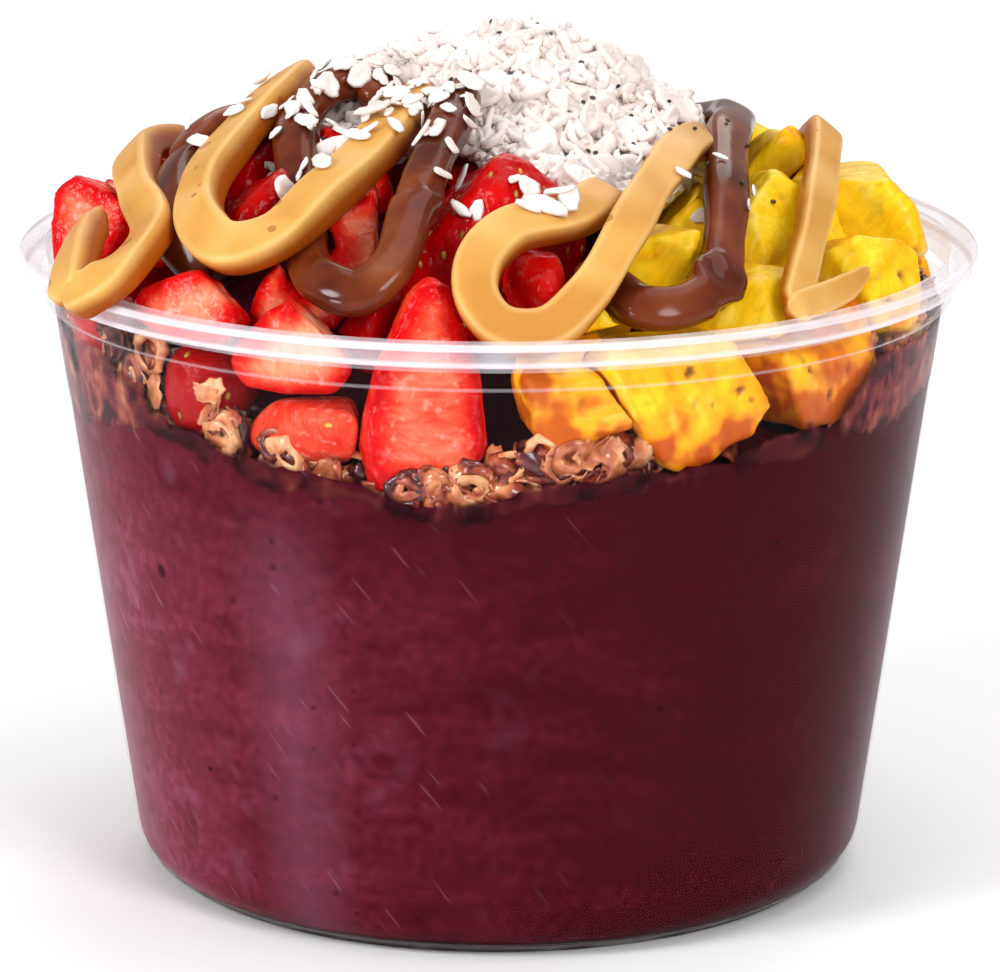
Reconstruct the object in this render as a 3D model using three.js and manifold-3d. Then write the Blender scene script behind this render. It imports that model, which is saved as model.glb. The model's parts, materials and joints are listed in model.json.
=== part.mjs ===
// Acai bowl in a clear deli cup: frozen acai up to a wavy level, granola along the wall,
// a heap of cut strawberries and pineapple over the rim, peanut butter and chocolate
// drizzled over it in thick ribbons, and a heap of shredded coconut on top.
//
// Millimetres, +Z up. The origin is the middle of the cup's foot, on the table.
// +X is the pineapple side, -X the strawberry side, and -Y the front.

import * as THREE from 'three';
import { mergeVertices } from 'three/addons/utils/BufferGeometryUtils.js';
import Module from 'manifold-3d';

// ---------------------------------------------------------------- driving dimensions

const CUP = {
  height: 78,
  rimRadius: 58.5,
  rimLip: 3.4, // flange, from the inner wall to its outer edge
  rimDepth: 2.5,
  shoulderHeight: 71.2, // step that holds a stacked cup clear
  shoulderStep: 1.1,
  wallRadius: 54.4, // outside, at the shoulder
  draft: 8, // degrees
  wall: 0.95,
  footRadius: 41,
  footHeight: 1.2,
  footWidth: 3.2,
  cornerRadius: 6,
  cornerLift: 0.2, // the corner's lowest point over the foot
  cornerStart: -75, // degrees, where the corner leaves the foot
  edge: 0.8, // height and depth of the softened edges
  ease: 0.4, // how far the step slopes
  sides: 40,
};

const GAP = 0.3; // clearance between touching pieces
const PRESSED_SHARE = 0.7; // least share of a piece that a flat cut may leave
const WELD = 1e-4; // points nearer than this are one
const LARGE = 400; // more than the whole bowl

const ACAI = {
  mound: 81, // height at the middle, under the fruit
  moundShares: [0.3, 0.85], // shares of the radius where the mound ends and the level begins
  waves: 7, // round the top
  waveHeight: 0.7,
  rings: [0.93, 0.8, 0.62, 0.4, 0], // shares of the radius, from the wall to the middle
  // Height of the acai at the wall: [azimuth in degrees, height].
  level: [
    [-164, 61.2], [-140, 63.2], [-116, 59.8], [-97, 56.8], [-83, 59.2], [-66, 60.4],
    [-50, 62.4], [-30, 63], [0, 65], [40, 68], [90, 67], [140, 68.5], [176, 65],
  ],
};

const PEANUT = { width: 6.3, height: 4.6, edge: 1.1, colour: 0xd8a25c, roughness: 0.42 };
const CHOCOLATE = { width: 5.5, height: 4.3, edge: 1.4, colour: 0x6b3a24, roughness: 0.28 };
const RIBBON_STEP = 4.7; // length of ribbon between two sections
const RIBBON_SWELL = 0.05; // share by which a ribbon swells and thins
const RIBBON_SWELL_LENGTH = 18; // from one swelling to the next

const COCONUT = {
  centre: [3, 1],
  // Distance from there to the heap's edge: [azimuth in degrees, distance].
  edge: [
    [-160, 17], [-125, 12.5], [-95, 17], [-70, 24], [-40, 24], [0, 21.5], [60, 23], [120, 25],
    [160, 29], [180, 25],
  ],
  // A low cover over the fruit, and bumps on it: a peak behind the middle and a wing to the left.
  cover: { height: 94, centre: [3, 3], reach: [27, 24], fall: 5.4 },
  bumps: [
    { height: 8.4, centre: [3.2, 7], reach: [15, 13] },
    { height: 7, centre: [-18, 9], reach: [9, 8] },
  ],
  thickness: 6.5,
  edgeThickness: 0.3, // share of that at the edge
  lumps: 1.5, // height of the lumps on the core
  rings: [0.28, 0.52, 0.76, 0.92], // shares of the way to the edge
  sides: 20,
  shreds: 36,
  shred: [7.6, 2.6, 1.5],
  shredLift: 0.7, // over the core's top, at the middle
  shredSink: 1.6, // by which it lies lower at the edge
  shredSpread: 1.04, // share of the way to the edge that the last one reaches
};

const GRANOLA = {
  flake: [5.6, 4.2, 1.1],
  clear: 0.97, // share of the inner radius that the bed reaches
  lean: 0.1, // by which the bed leans out, as a share of its height
  endShare: 0.4, // of its height at both ends
  tries: 12, // for a place that is clear of the fruit
};

const PILE_CENTRE = new THREE.Vector3(0, 0, 45); // the heap's surface looks away from here

// ---------------------------------------------------------------- solids

const wasm = await Module();
wasm.setup();

// Seeded random numbers from 0 to 1, by the mulberry32 rule.
function randomFrom(seed) {
  let state = seed >>> 0;
  return () => {
    state = (state + 0x6d2b79f5) >>> 0;
    let mixed = Math.imul(state ^ (state >>> 15), 1 | state);
    mixed = (mixed + Math.imul(mixed ^ (mixed >>> 7), 61 | mixed)) ^ mixed;
    return ((mixed ^ (mixed >>> 14)) >>> 0) / 4294967296;
  };
}

// The geometry with its shared vertices merged, and only positions left.
function welded(geometry) {
  const bare = geometry.clone();
  bare.deleteAttribute('normal');
  bare.deleteAttribute('uv');
  return mergeVertices(bare, WELD);
}

function toSolid(geometry) {
  const { attributes, index } = welded(geometry);
  const triVerts = new Uint32Array(index.array);
  const mesh = { numProp: 3, vertProperties: new Float32Array(attributes.position.array), triVerts };
  const solid = new wasm.Manifold(new wasm.Mesh(mesh));
  if (solid.volume() > 0) return solid;
  for (let i = 0; i < triVerts.length; i += 3) {
    [triVerts[i], triVerts[i + 1]] = [triVerts[i + 1], triVerts[i]];
  }
  return new wasm.Manifold(new wasm.Mesh(mesh));
}

function toGeometry(solid) {
  const { numProp, vertProperties, triVerts } = solid.getMesh();
  if (numProp !== 3) throw new Error('a solid carries more than positions');
  const geometry = new THREE.BufferGeometry();
  geometry.setAttribute('position', new THREE.BufferAttribute(new Float32Array(vertProperties), 3));
  geometry.setIndex(new THREE.BufferAttribute(new Uint32Array(triVerts), 1));
  const faceted = geometry.toNonIndexed();
  faceted.computeVertexNormals();
  return faceted;
}

function boxesMeet(a, b) {
  return a.min.every((low, axis) => low < b.max[axis] && b.min[axis] < a.max[axis]);
}

function largestBody(solid) {
  const bodies = solid.decompose();
  if (bodies.length === 0) throw new Error('nothing is left of a piece');
  return bodies.reduce((best, body) => (body.volume() > best.volume() ? body : best));
}

// The part of a solid outside its neighbours.
function carved(solid, neighbours) {
  let rest = solid;
  for (const other of neighbours) {
    if (boxesMeet(rest.boundingBox(), other.boundingBox())) rest = rest.subtract(other);
  }
  return largestBody(rest);
}

// Turns local +Z to one direction and local +X as near as it can to another.
function turnTo(zWay, xWay) {
  const z = new THREE.Vector3(...zWay).normalize();
  const x = new THREE.Vector3(...xWay).addScaledVector(z, -z.dot(new THREE.Vector3(...xWay))).normalize();
  return new THREE.Matrix4().makeBasis(x, new THREE.Vector3().crossVectors(z, x), z);
}

function placed(geometry, at, zWay, xWay) {
  return geometry.applyMatrix4(turnTo(zWay, xWay)).translate(...at);
}

// A large block with its near face on the plane at a distance from the origin along way.
function beyond(way, distance) {
  const block = new THREE.BoxGeometry(LARGE, LARGE, LARGE).translate(0, 0, LARGE / 2 + distance);
  const aside = Math.abs(way[0]) < Math.SQRT1_2 ? [1, 0, 0] : [0, 1, 0];
  return toSolid(block.applyMatrix4(turnTo(way, aside)));
}

// How far a solid reaches along a direction.
function reachOf(solid, way) {
  const { vertProperties } = solid.getMesh();
  let reach = -Infinity;
  for (let i = 0; i < vertProperties.length; i += 3) {
    const along =
      vertProperties[i] * way[0] + vertProperties[i + 1] * way[1] + vertProperties[i + 2] * way[2];
    reach = Math.max(reach, along);
  }
  return reach;
}

// The directions to the faces, edges and corners of a cube.
const CUBE_WAYS = [];
for (let x = -1; x <= 1; x += 1) {
  for (let y = -1; y <= 1; y += 1) {
    for (let z = -1; z <= 1; z += 1) {
      const way = new THREE.Vector3(x, y, z);
      if (way.length() > 0) CUBE_WAYS.push(way.normalize().toArray());
    }
  }
}

// Soft pieces pressed together meet on a flat face: the flat cut that clears a neighbour and
// leaves the most of the piece. A neighbour that would cost too much that way is carved out.
function pressed(solid, neighbours) {
  let rest = solid;
  for (const other of neighbours) {
    if (!boxesMeet(rest.boundingBox(), other.boundingBox())) continue;
    const overlap = rest.intersect(other);
    if (overlap.isEmpty()) continue;
    const cuts = CUBE_WAYS.map((way) => {
      const opposite = way.map((value) => -value);
      return rest.subtract(beyond(opposite, -reachOf(overlap, way)));
    });
    const best = cuts.reduce((most, cut) => (cut.volume() > most.volume() ? cut : most));
    rest = best.volume() > PRESSED_SHARE * rest.volume() ? best : rest.subtract(other);
  }
  return largestBody(rest);
}

// Moves every vertex by up to amount, so that no two pieces are alike.
function roughen(geometry, amount, seed) {
  const random = randomFrom(seed);
  const { position } = geometry.attributes;
  for (let i = 0; i < position.count; i += 1) {
    position.setXYZ(
      i,
      position.getX(i) + amount * (2 * random() - 1),
      position.getY(i) + amount * (2 * random() - 1),
      position.getZ(i) + amount * (2 * random() - 1),
    );
  }
  return geometry;
}

// Replaces each vertex by what move makes of it.
function reshape(geometry, move) {
  const { position } = geometry.attributes;
  const point = new THREE.Vector3();
  for (let i = 0; i < position.count; i += 1) {
    const moved = move(point.fromBufferAttribute(position, i).clone());
    position.setXYZ(i, moved.x, moved.y, moved.z);
  }
  return geometry;
}

// A solid of revolution about Z, from an outline of [radius, height] points.
function revolve(outline, sides) {
  const points = outline.map(([radius, height]) => new THREE.Vector2(radius, height));
  return welded(new THREE.LatheGeometry(points, sides)).rotateX(Math.PI / 2);
}

// ---------------------------------------------------------------- cup

const degrees = THREE.MathUtils.degToRad;
const cupSlope = Math.tan(degrees(CUP.draft));
const outerRadius = (z) => CUP.wallRadius - cupSlope * (CUP.shoulderHeight - z);
const innerRadius = (z) => outerRadius(z) - CUP.wall / Math.cos(degrees(CUP.draft));

// Points of the rounded corner between foot and wall, inset from the outside by inset.
function cornerArc(inset) {
  const radius = CUP.cornerRadius;
  const centreZ = radius + CUP.cornerLift;
  const centreR = outerRadius(centreZ) - radius / Math.cos(degrees(CUP.draft));
  const reach = radius - inset;
  return [0, 0.5, 1].map((share) => {
    const turn = degrees(THREE.MathUtils.lerp(CUP.cornerStart, -CUP.draft, share));
    return [centreR + reach * Math.cos(turn), centreZ + reach * Math.sin(turn)];
  });
}

// Closed outline of the cup's section. grow moves every face outwards, to cut neighbours clear.
function cupOutline(grow = 0) {
  const { height, rimRadius, rimLip, rimDepth, shoulderHeight, footRadius, edge, ease } = CUP;
  const inside = CUP.wall + grow;
  const lip = rimRadius - rimLip;
  const footInside = footRadius - CUP.footWidth;
  const step = CUP.wallRadius + CUP.shoulderStep;
  const outside = [
    [0, CUP.footHeight - grow],
    [footInside, CUP.footHeight - grow],
    [footInside + 1, -grow],
    [footRadius, -grow],
    ...cornerArc(-grow),
    [outerRadius(shoulderHeight - edge) + grow, shoulderHeight - edge],
    [step + grow, shoulderHeight + ease],
    [step + ease + grow, height - rimDepth - grow],
    [rimRadius - ease + grow, height - rimDepth - grow],
    [rimRadius + grow, height - edge],
    [rimRadius - edge + grow, height + grow],
    [lip + edge - grow, height + grow],
    [lip - grow, height - edge],
  ];
  const inner = [
    [step - inside, shoulderHeight + edge],
    [innerRadius(shoulderHeight) - grow, shoulderHeight - ease],
    ...cornerArc(inside).reverse(),
    [footInside - 1, CUP.footHeight + inside],
    [0, CUP.footHeight + inside],
  ];
  return [...outside, ...inner];
}

const cupSolid = toSolid(revolve(cupOutline(), CUP.sides));
const cupClearance = toSolid(revolve(cupOutline(GAP), CUP.sides));

// ---------------------------------------------------------------- acai

// A value stated at some azimuths as [azimuth, value], eased between them.
function easedAround(stops, azimuth) {
  const turn = THREE.MathUtils.euclideanModulo(azimuth - stops[0][0], 360) + stops[0][0];
  const next = stops.findIndex(([angle]) => angle > turn);
  const [fromAngle, from] = stops[(next < 0 ? stops.length : next) - 1];
  const [toAngle, to] = next < 0 ? [stops[0][0] + 360, stops[0][1]] : stops[next];
  const share = (turn - fromAngle) / (toAngle - fromAngle);
  return from + (to - from) * THREE.MathUtils.smoothstep(share, 0, 1);
}

const acaiLevel = (azimuth) => easedAround(ACAI.level, azimuth);
const azimuthOf = (x, y) => THREE.MathUtils.radToDeg(Math.atan2(y, x));

// Height of the acai's top at a share of the radius (0 middle, 1 wall).
function acaiTop(share, azimuth) {
  const wall = acaiLevel(azimuth);
  const rise = 1 - THREE.MathUtils.smoothstep(share, ...ACAI.moundShares);
  const waves = ACAI.waveHeight * Math.sin(degrees(azimuth * ACAI.waves)) * share * (1 - share) * 4;
  return wall + (ACAI.mound - wall) * rise + waves;
}

// Heights that mark the outline's points up the wall and over the top until they are placed.
const WALL_MARK = 100;
const TOP_MARK = 200;

function acaiGeometry(grow = 0) {
  const floor = CUP.footHeight + CUP.wall + GAP;
  const corner = cornerArc(CUP.wall + GAP);
  const cornerTop = corner[corner.length - 1][1];
  const outline = [
    [0, floor],
    [CUP.footRadius - CUP.footWidth, floor],
    ...corner.slice(0, -1),
    [1, WALL_MARK],
    [1, WALL_MARK + 1],
    ...ACAI.rings.map((share) => [share, TOP_MARK]),
  ];
  return reshape(revolve(outline, CUP.sides), (point) => {
    if (point.z < WALL_MARK) return point;
    const azimuth = azimuthOf(point.x, point.y);
    const share = Math.hypot(point.x, point.y);
    const wallTop = acaiLevel(azimuth) + grow;
    const onWall = point.z < TOP_MARK;
    const height = cornerTop + (wallTop - cornerTop) * (point.z - WALL_MARK);
    const z = onWall ? height : acaiTop(share, azimuth) + grow;
    const radius = share * (innerRadius(onWall ? z : wallTop) - GAP);
    const turn = degrees(azimuth);
    return point.set(radius * Math.cos(turn), radius * Math.sin(turn), z);
  });
}

const acaiSolid = toSolid(acaiGeometry());
const acaiClearance = toSolid(acaiGeometry(GAP));

// ---------------------------------------------------------------- ribbons

// Section of a squeezed ribbon, flat on top with rounded shoulders, and narrower below.
// Grown, it is the plain rectangle around that.
function ribbonSection({ width, height, edge }, grow) {
  const x = width / 2 + grow;
  const y = height / 2 + grow;
  const corners = grow > 0 ? [[-x, -y], [x, -y], [x, y], [-x, y]] : [
    [-x + edge, -y], [x - edge, -y], [x, y - edge], [x - edge, y], [-x + edge, y], [-x, y - edge],
  ];
  return new THREE.Shape(corners.map(([cx, cy]) => new THREE.Vector2(cx, cy)));
}

// One stroke of ribbon along hand-placed points, its flat side away from the heap's middle.
// broad holds the shares of the full section that it has at the start and at the end, and ends
// how much of that is left at its two tips.
function stroke(kind, { points, broad = [1, 1], ends }, grow) {
  const route = points.map((point) => new THREE.Vector3(...point));
  const curve = new THREE.CatmullRomCurve3(route, false, 'centripetal');
  const length = curve.getLength();
  const steps = Math.round(length / RIBBON_STEP);
  const settings = { depth: 1, steps, bevelEnabled: false };
  const straight = welded(new THREE.ExtrudeGeometry(ribbonSection(kind, grow), settings));
  const taper = kind.width / length;
  const swells = (2 * Math.PI * length) / RIBBON_SWELL_LENGTH;
  return reshape(straight, (point) => {
    const along = point.z;
    const at = curve.getPointAt(along);
    const ahead = curve.getTangentAt(along);
    const up = at.clone().sub(PILE_CENTRE);
    up.addScaledVector(ahead, -up.dot(ahead)).normalize();
    const side = new THREE.Vector3().crossVectors(up, ahead);
    const start = THREE.MathUtils.lerp(ends[0], 1, Math.min(1, along / taper));
    const end = THREE.MathUtils.lerp(ends[1], 1, Math.min(1, (1 - along) / taper));
    const swell = 1 + RIBBON_SWELL * Math.sin(along * swells);
    const size = start * end * swell * THREE.MathUtils.lerp(...broad, along);
    const past = along === 0 ? -grow : along === 1 ? grow : 0;
    return at
      .addScaledVector(side, point.x * size)
      .addScaledVector(up, point.y * size)
      .addScaledVector(ahead, past);
  });
}

// Each ribbon: its kind and its strokes.
const RIBBONS = {
  peanut_butter_left: {
    kind: PEANUT,
    strokes: [
      {
        ends: [0.35, 0.85],
        broad: [0.8, 0.95],
        points: [[-47.4, -17, 85], [-48.6, -23, 83.3], [-49.3, -29, 81.9], [-49.9, -37, 78.6]],
      },
      {
        ends: [0.85, 0.9],
        broad: [0.86, 1],
        points: [
          [-50.6, -37, 78], [-45.1, -36.5, 80.8], [-41.8, -31, 83], [-40.5, -24, 84.6],
          [-42.6, -15, 86.4], [-43.7, -5, 87.8], [-43.5, 4, 88], [-41, 14, 86.4],
          [-37, 23, 84.4], [-31.4, 28, 84], [-26, 25.6, 86.2], [-24.3, 18, 91],
          [-24.8, 11, 95.4], [-27, 2, 95], [-31.4, -9, 92.2], [-34.7, -19, 88.8],
          [-34.8, -28, 86], [-31.1, -34.5, 84], [-26, -34.6, 85.4], [-20, -28, 89.4],
          [-15.4, -21, 92.4], [-11.6, -12, 95.4], [-9.2, -5, 97],
        ],
      },
    ],
  },
  peanut_butter_right: {
    kind: PEANUT,
    strokes: [
      {
        ends: [0.8, 0.85],
        broad: [0.92, 0.64],
        points: [
          [12.9, -27, 89.4], [8.6, -35.2, 88], [1.4, -38.8, 87], [-2.2, -43, 84],
          [-2.4, -46.8, 80.6], [0.5, -49.4, 77.8], [5.6, -49.4, 77.6], [10.2, -46.6, 81.2],
          [14.2, -40.6, 86.5], [18.2, -29, 90.6], [22.2, -15, 92.4], [25, -4, 90.6],
          [26.8, 8, 86.6], [28.8, 17.4, 84.6], [33.4, 21.8, 83.8], [37.6, 17.6, 85],
          [38.8, 9, 88.8], [39.4, 1, 90.6], [38.6, -11, 88], [36.8, -24, 83.8], [34.2, -37, 77.9],
        ],
      },
      {
        ends: [0.9, 0.4],
        broad: [0.66, 0.5],
        points: [[33.6, -37.4, 77.5], [37.4, -33.4, 77.7], [40.4, -29.6, 78.2], [43.8, -24.4, 79.6]],
      },
    ],
  },
  chocolate_left: {
    kind: CHOCOLATE,
    strokes: [
      { ends: [0.9, 0.6], points: [[-28.6, 7, 91], [-34.4, -1.6, 92], [-38.7, -9.6, 89.8]] },
      {
        ends: [0.7, 0.9],
        points: [
          [-34.6, -4, 90.6], [-38.2, -12, 88.6], [-38.6, -19, 86.4], [-37.3, -26, 82.6],
          [-34.2, -29.5, 79.4],
        ],
      },
    ],
  },
  chocolate_middle: {
    kind: CHOCOLATE,
    strokes: [
      {
        ends: [0.85, 0.5],
        points: [
          [-13.8, -3, 95.2], [-15.8, 1.5, 97], [-20, 1, 96.8], [-23.6, -5, 94.2],
          [-24.1, -13, 91.4], [-23.1, -22, 86.6], [-22.3, -32, 82.6], [-20.4, -39.4, 81.2],
          [-16.2, -42.2, 80.4], [-12.4, -40.4, 83], [-10, -33, 88.4], [-7.6, -24, 92.8],
          [-5.3, -15, 96], [-3.9, -6, 98.8],
        ],
      },
    ],
  },
  chocolate_right: {
    kind: CHOCOLATE,
    strokes: [
      {
        ends: [0.8, 0.9],
        points: [
          [8.6, 20, 91], [12, 29, 87.6], [17.8, 32.4, 86.6], [24, 28, 87],
          [28.2, 18, 89.4], [28.9, 8, 91], [27.6, -5, 91.4], [27.1, -17, 89.2],
          [26.4, -30, 84.8], [25, -38, 80.8], [21.4, -43.4, 79.2], [17, -44.6, 79.2],
          [13.6, -40.4, 80.2], [9.7, -36, 82.4],
        ],
      },
    ],
  },
  chocolate_back: {
    kind: CHOCOLATE,
    strokes: [
      {
        ends: [0.8, 0.8],
        points: [
          [-3.4, 18, 94], [-2.8, 27, 90.2], [-6, 34, 86.2], [-12, 35.4, 85.4],
          [-15.6, 30, 87.4], [-15.4, 20, 92.6],
        ],
      },
    ],
  },
};

function ribbonSolid({ kind, strokes }, grow) {
  return strokes
    .map((spec) => toSolid(stroke(kind, spec, grow)))
    .reduce((whole, part) => whole.add(part));
}

// ---------------------------------------------------------------- strawberries

const BERRY_SIDES = 8;
const BERRY_UNEVEN = 0.025; // share of its width by which a berry's corners stray
// [share of the half width, share of the length] from the tip to the hulled shoulder.
const BERRY_OUTLINE = [
  [0, -0.5], [0.42, -0.41], [0.84, -0.08], [0.98, 0.24], [0.66, 0.46], [0, 0.42],
];
// Cut planes of each form: [direction in the berry's frame, share of the width kept beyond the axis].
const BERRY_CUTS = {
  whole: [],
  half: [[[1, 0, 0], 0.14]],
  quarter: [[[1, 0, 0], 0.12], [[0, 1, 0], 0.2]],
};

// Each berry: form, centre, width, length, way the tip points, way the first cut face looks.
// An earlier one keeps its form, and a later one is cut to lie against it.
const BERRIES = [
  // in front, against the wall
  ['half', [-8.4, -44.7, 69.8], 15.6, 27, [0.06, 0.24, 1], [0.1, -1, 0.1]],
  ['whole', [-34, -34.4, 66], 12, 13.6, [-0.3, -0.2, -1], [0, -1, 0]],
  ['half', [-24.3, -41.6, 73.4], 13.4, 14.6, [-1, 0.3, -0.35], [0, -0.95, -0.2]],
  ['whole', [-21, -42, 65.2], 12, 18.4, [-1, 0.44, -0.34], [0, -1, 0]],
  ['half', [-36, -35.4, 77.2], 11, 14.5, [-1, 0.4, 0], [-0.25, -0.9, 0.35]],
  ['whole', [-47.6, -14.6, 68], 11, 14, [-0.1, 0, -1], [0, -1, 0]],
  ['half', [-49.4, -9, 80.9], 12.5, 12.5, [-0.4, -0.2, -1], [-0.5, -0.85, 0.2]],
  // on the near slope
  ['whole', [-2.8, -24, 79.6], 25.5, 26, [-0.2, -0.6, -0.8], [0, -1, 0]],
  ['whole', [5.3, -37.4, 80], 10, 11, [0.1, -1, -0.1], [1, 0, 0]],
  ['whole', [-29.8, -21.6, 85], 13, 15, [-0.3, -0.6, -0.75], [0, -1, 0]],
  ['half', [-16.9, -27.6, 83.6], 14, 17, [0.25, -0.3, -0.9], [0.1, -0.85, 0.5]],
  ['half', [-24, -34.6, 77.6], 11, 13, [-0.8, 0, -0.6], [0.2, -0.9, 0.35]],
  ['half', [-40.4, -10.5, 83.6], 12, 15, [-0.3, -0.5, -0.8], [0.5, -0.7, 0.4]],
  ['half', [-19.4, -14, 88], 13.6, 15, [0.9, -0.2, -0.3], [0, -0.72, 0.7]],
  ['whole', [-30, -7, 86.6], 13, 15, [0.1, -0.7, -0.7], [1, 0, 0]],
  ['whole', [-14.6, -37.6, 74.4], 11, 12, [0.1, -0.9, -0.5], [1, 0, 0]],
  // on top and on the far slope
  ['whole', [-17.8, -3, 89.4], 13, 14, [0, -1, -0.25], [1, 0, 0]],
  ['half', [1.6, -3, 88.6], 15, 16, [0.9, -0.3, 0], [0, -0.6, 0.8]],
  ['half', [-45.4, 5, 81], 16, 17, [-0.2, -0.9, -0.3], [-0.6, -0.3, 0.7]],
  ['whole', [-43.6, -1.4, 72.4], 16, 18, [-0.3, -0.9, -0.1], [1, 0, 0]],
  ['half', [-40.6, 19.4, 78.6], 19, 21, [-0.6, 0.2, -0.7], [-0.7, 0.5, 0.5]],
  ['quarter', [-27.6, 31.6, 78.4], 23, 22, [-0.3, 0.5, -0.8], [-0.4, 0.7, 0.6]],
  ['whole', [-30, 16, 82], 18, 20, [-0.5, 0.6, -0.5], [1, 0, 0]],
  ['half', [1, 40.6, 79], 19, 20, [0.9, 0.1, -0.3], [0.1, 0.9, 0.35]],
  ['whole', [-9, 27, 83], 21, 23, [-0.1, 0.8, -0.6], [1, 0, 0]],
];

function berryGeometry(width, length, grow) {
  const outline = BERRY_OUTLINE.map(([out, up]) => [
    out * (width / 2 + grow),
    up * (length + 2 * grow),
  ]);
  return revolve(outline, BERRY_SIDES);
}

function berrySolid([form, at, width, length, tip, face], seed, grow) {
  const body = roughen(berryGeometry(width, length, grow), width * BERRY_UNEVEN, seed);
  let solid = toSolid(body);
  for (const [way, share] of BERRY_CUTS[form]) {
    solid = solid.subtract(beyond(way, share * width + grow));
  }
  const back = tip.map((value) => -value);
  return toSolid(placed(toGeometry(solid), at, back, face));
}

// ---------------------------------------------------------------- pineapple

// Each chunk: centre, [length from core to rind, width at the rind, width at the core,
// thickness], how far the rind side bulges, way the rind side looks, way the sawn face looks.
const CHUNKS = [
  // in front, against the wall
  [[20, -42, 70], [18.6, 14.6, 16, 11], 0.8, [0.47, 0.22, -0.85], [0.43, -0.9, 0.06]],
  [[9.4, -45.4, 70], [13.6, 12, 11, 10.6], 1.2, [-0.95, -0.1, -0.22], [0.2, -1, 0.08]],
  [[36.4, -29.8, 67.2], [15.4, 15, 16, 11], 3.4, [0.16, 0.2, -0.95], [0.76, -0.64, 0.06]],
  [[43.4, -19.8, 76.2], [11.5, 12.6, 10.6, 10], 1.2, [0.2, 0.1, 1], [0.7, -0.65, 0.3]],
  // on the near slope
  [[31.8, -15.6, 77.6], [22, 18.5, 16, 13], 1.2, [0.42, 0.3, 0.86], [-0.3, -0.93, 0.3]],
  [[41.3, -1.4, 79], [19, 18, 15, 12], 2.4, [0.74, 0.2, 0.66], [-0.1, -0.95, 0.2]],
  [[18.2, -31.6, 80.6], [12, 11, 9, 10], 0.6, [0.55, 0.1, 0.8], [0.2, -0.8, 0.6]],
  [[22, -14.4, 83.4], [17, 13, 10, 12], 1, [-0.1, 0.3, 1], [0, -0.9, 0.4]],
  [[11, -40, 77.6], [11, 10, 9, 9], 0.6, [0, 0.3, 1], [0, -0.95, 0.3]],
  [[29.6, -29, 76], [14, 15, 14, 9], 0.8, [0.42, 0.3, 0.86], [-0.25, -0.9, 0.35]],
  [[47.4, 5, 74], [11, 11, 9, 9], 0.8, [0.1, 0, 1], [0.9, 0.2, 0.2]],
  // on top and on the far slope
  [[33.6, 5, 84.4], [12, 12, 10, 10], 1, [0.1, 0.2, 1], [-0.2, -0.9, 0.3]],
  [[12.4, 6, 86], [14, 14, 10, 11], 1.2, [0.8, 0.2, 0.3], [0.2, 0.3, 0.9]],
  [[17.6, 24, 78.6], [20, 18, 13, 16], 1.6, [-0.4, 0.5, 0.7], [0.4, 0.8, 0.3]],
  [[38, 20.6, 77.4], [19, 17, 12, 14], 2.2, [0.7, 0.5, 0.5], [0.3, 0.85, 0.4]],
  [[26.8, 32.6, 77.2], [18, 17, 13, 14], 1.8, [0.2, 0.5, 0.85], [0.6, 0.75, -0.2]],
  [[14.2, 38.8, 76.8], [18, 16, 13, 14], 1.4, [-0.3, 0.3, 0.9], [0.3, 0.9, -0.2]],
  [[-14.6, 38.6, 78], [19, 16, 13, 15], 1.4, [0.4, 0.3, 0.85], [-0.35, 0.9, -0.1]],
];

const RIND_POINTS = 4; // spans along the rind side
const CHUNK_EDGE = 0.9; // softened edge of a sawn chunk
const CHUNK_SCALLOP = 0.5; // depth of the rind side's scallops
const CHUNK_UNEVEN = 0.4; // by which a chunk's corners stray

function chunkSolid([at, [length, rindWidth, coreWidth, thickness], bulge, rind, face], seed, grow) {
  const half = length / 2 + grow - CHUNK_EDGE;
  const core = coreWidth / 2 + grow - CHUNK_EDGE;
  const wide = rindWidth / 2 + grow - CHUNK_EDGE;
  const corners = [[-half, core], [-half, -core]];
  for (let i = 0; i <= RIND_POINTS; i += 1) {
    const across = (2 * i) / RIND_POINTS - 1;
    const scallop = i % 2 === 1 ? CHUNK_SCALLOP : 0;
    corners.push([half - bulge + bulge * (1 - across * across) + scallop, across * wide]);
  }
  const settings = {
    depth: thickness + 2 * grow - 2 * CHUNK_EDGE,
    bevelThickness: CHUNK_EDGE,
    bevelSize: CHUNK_EDGE,
    bevelSegments: 1,
  };
  const shape = new THREE.Shape(corners.map(([x, y]) => new THREE.Vector2(x, y)));
  const block = welded(new THREE.ExtrudeGeometry(shape, settings));
  block.translate(0, 0, CHUNK_EDGE - thickness / 2 - grow);
  return toSolid(placed(roughen(block, CHUNK_UNEVEN, seed), at, face, rind));
}

// ---------------------------------------------------------------- granola

const CHIP_UNEVEN = 0.3; // share of its half size by which a chip's corners stray

// A thin irregular chip of the given size.
function chipGeometry([length, width, thickness], seed) {
  const chip = welded(new THREE.OctahedronGeometry(1));
  roughen(chip, CHIP_UNEVEN, seed);
  return chip.scale(length / 2, width / 2, thickness / 2);
}

// name: [first and last side of the acai that it lies along, height over the acai, chips on it].
const GRANOLA_BEDS = {
  granola_front: [25, 33, 4.4, 8],
  granola_left: [19, 25, 7.4, 5],
  granola_right: [36, 42, 8, 5],
  granola_back: [6, 15, 4.4, 4],
};

const between = (low, high, random) => low + (high - low) * random();

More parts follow.
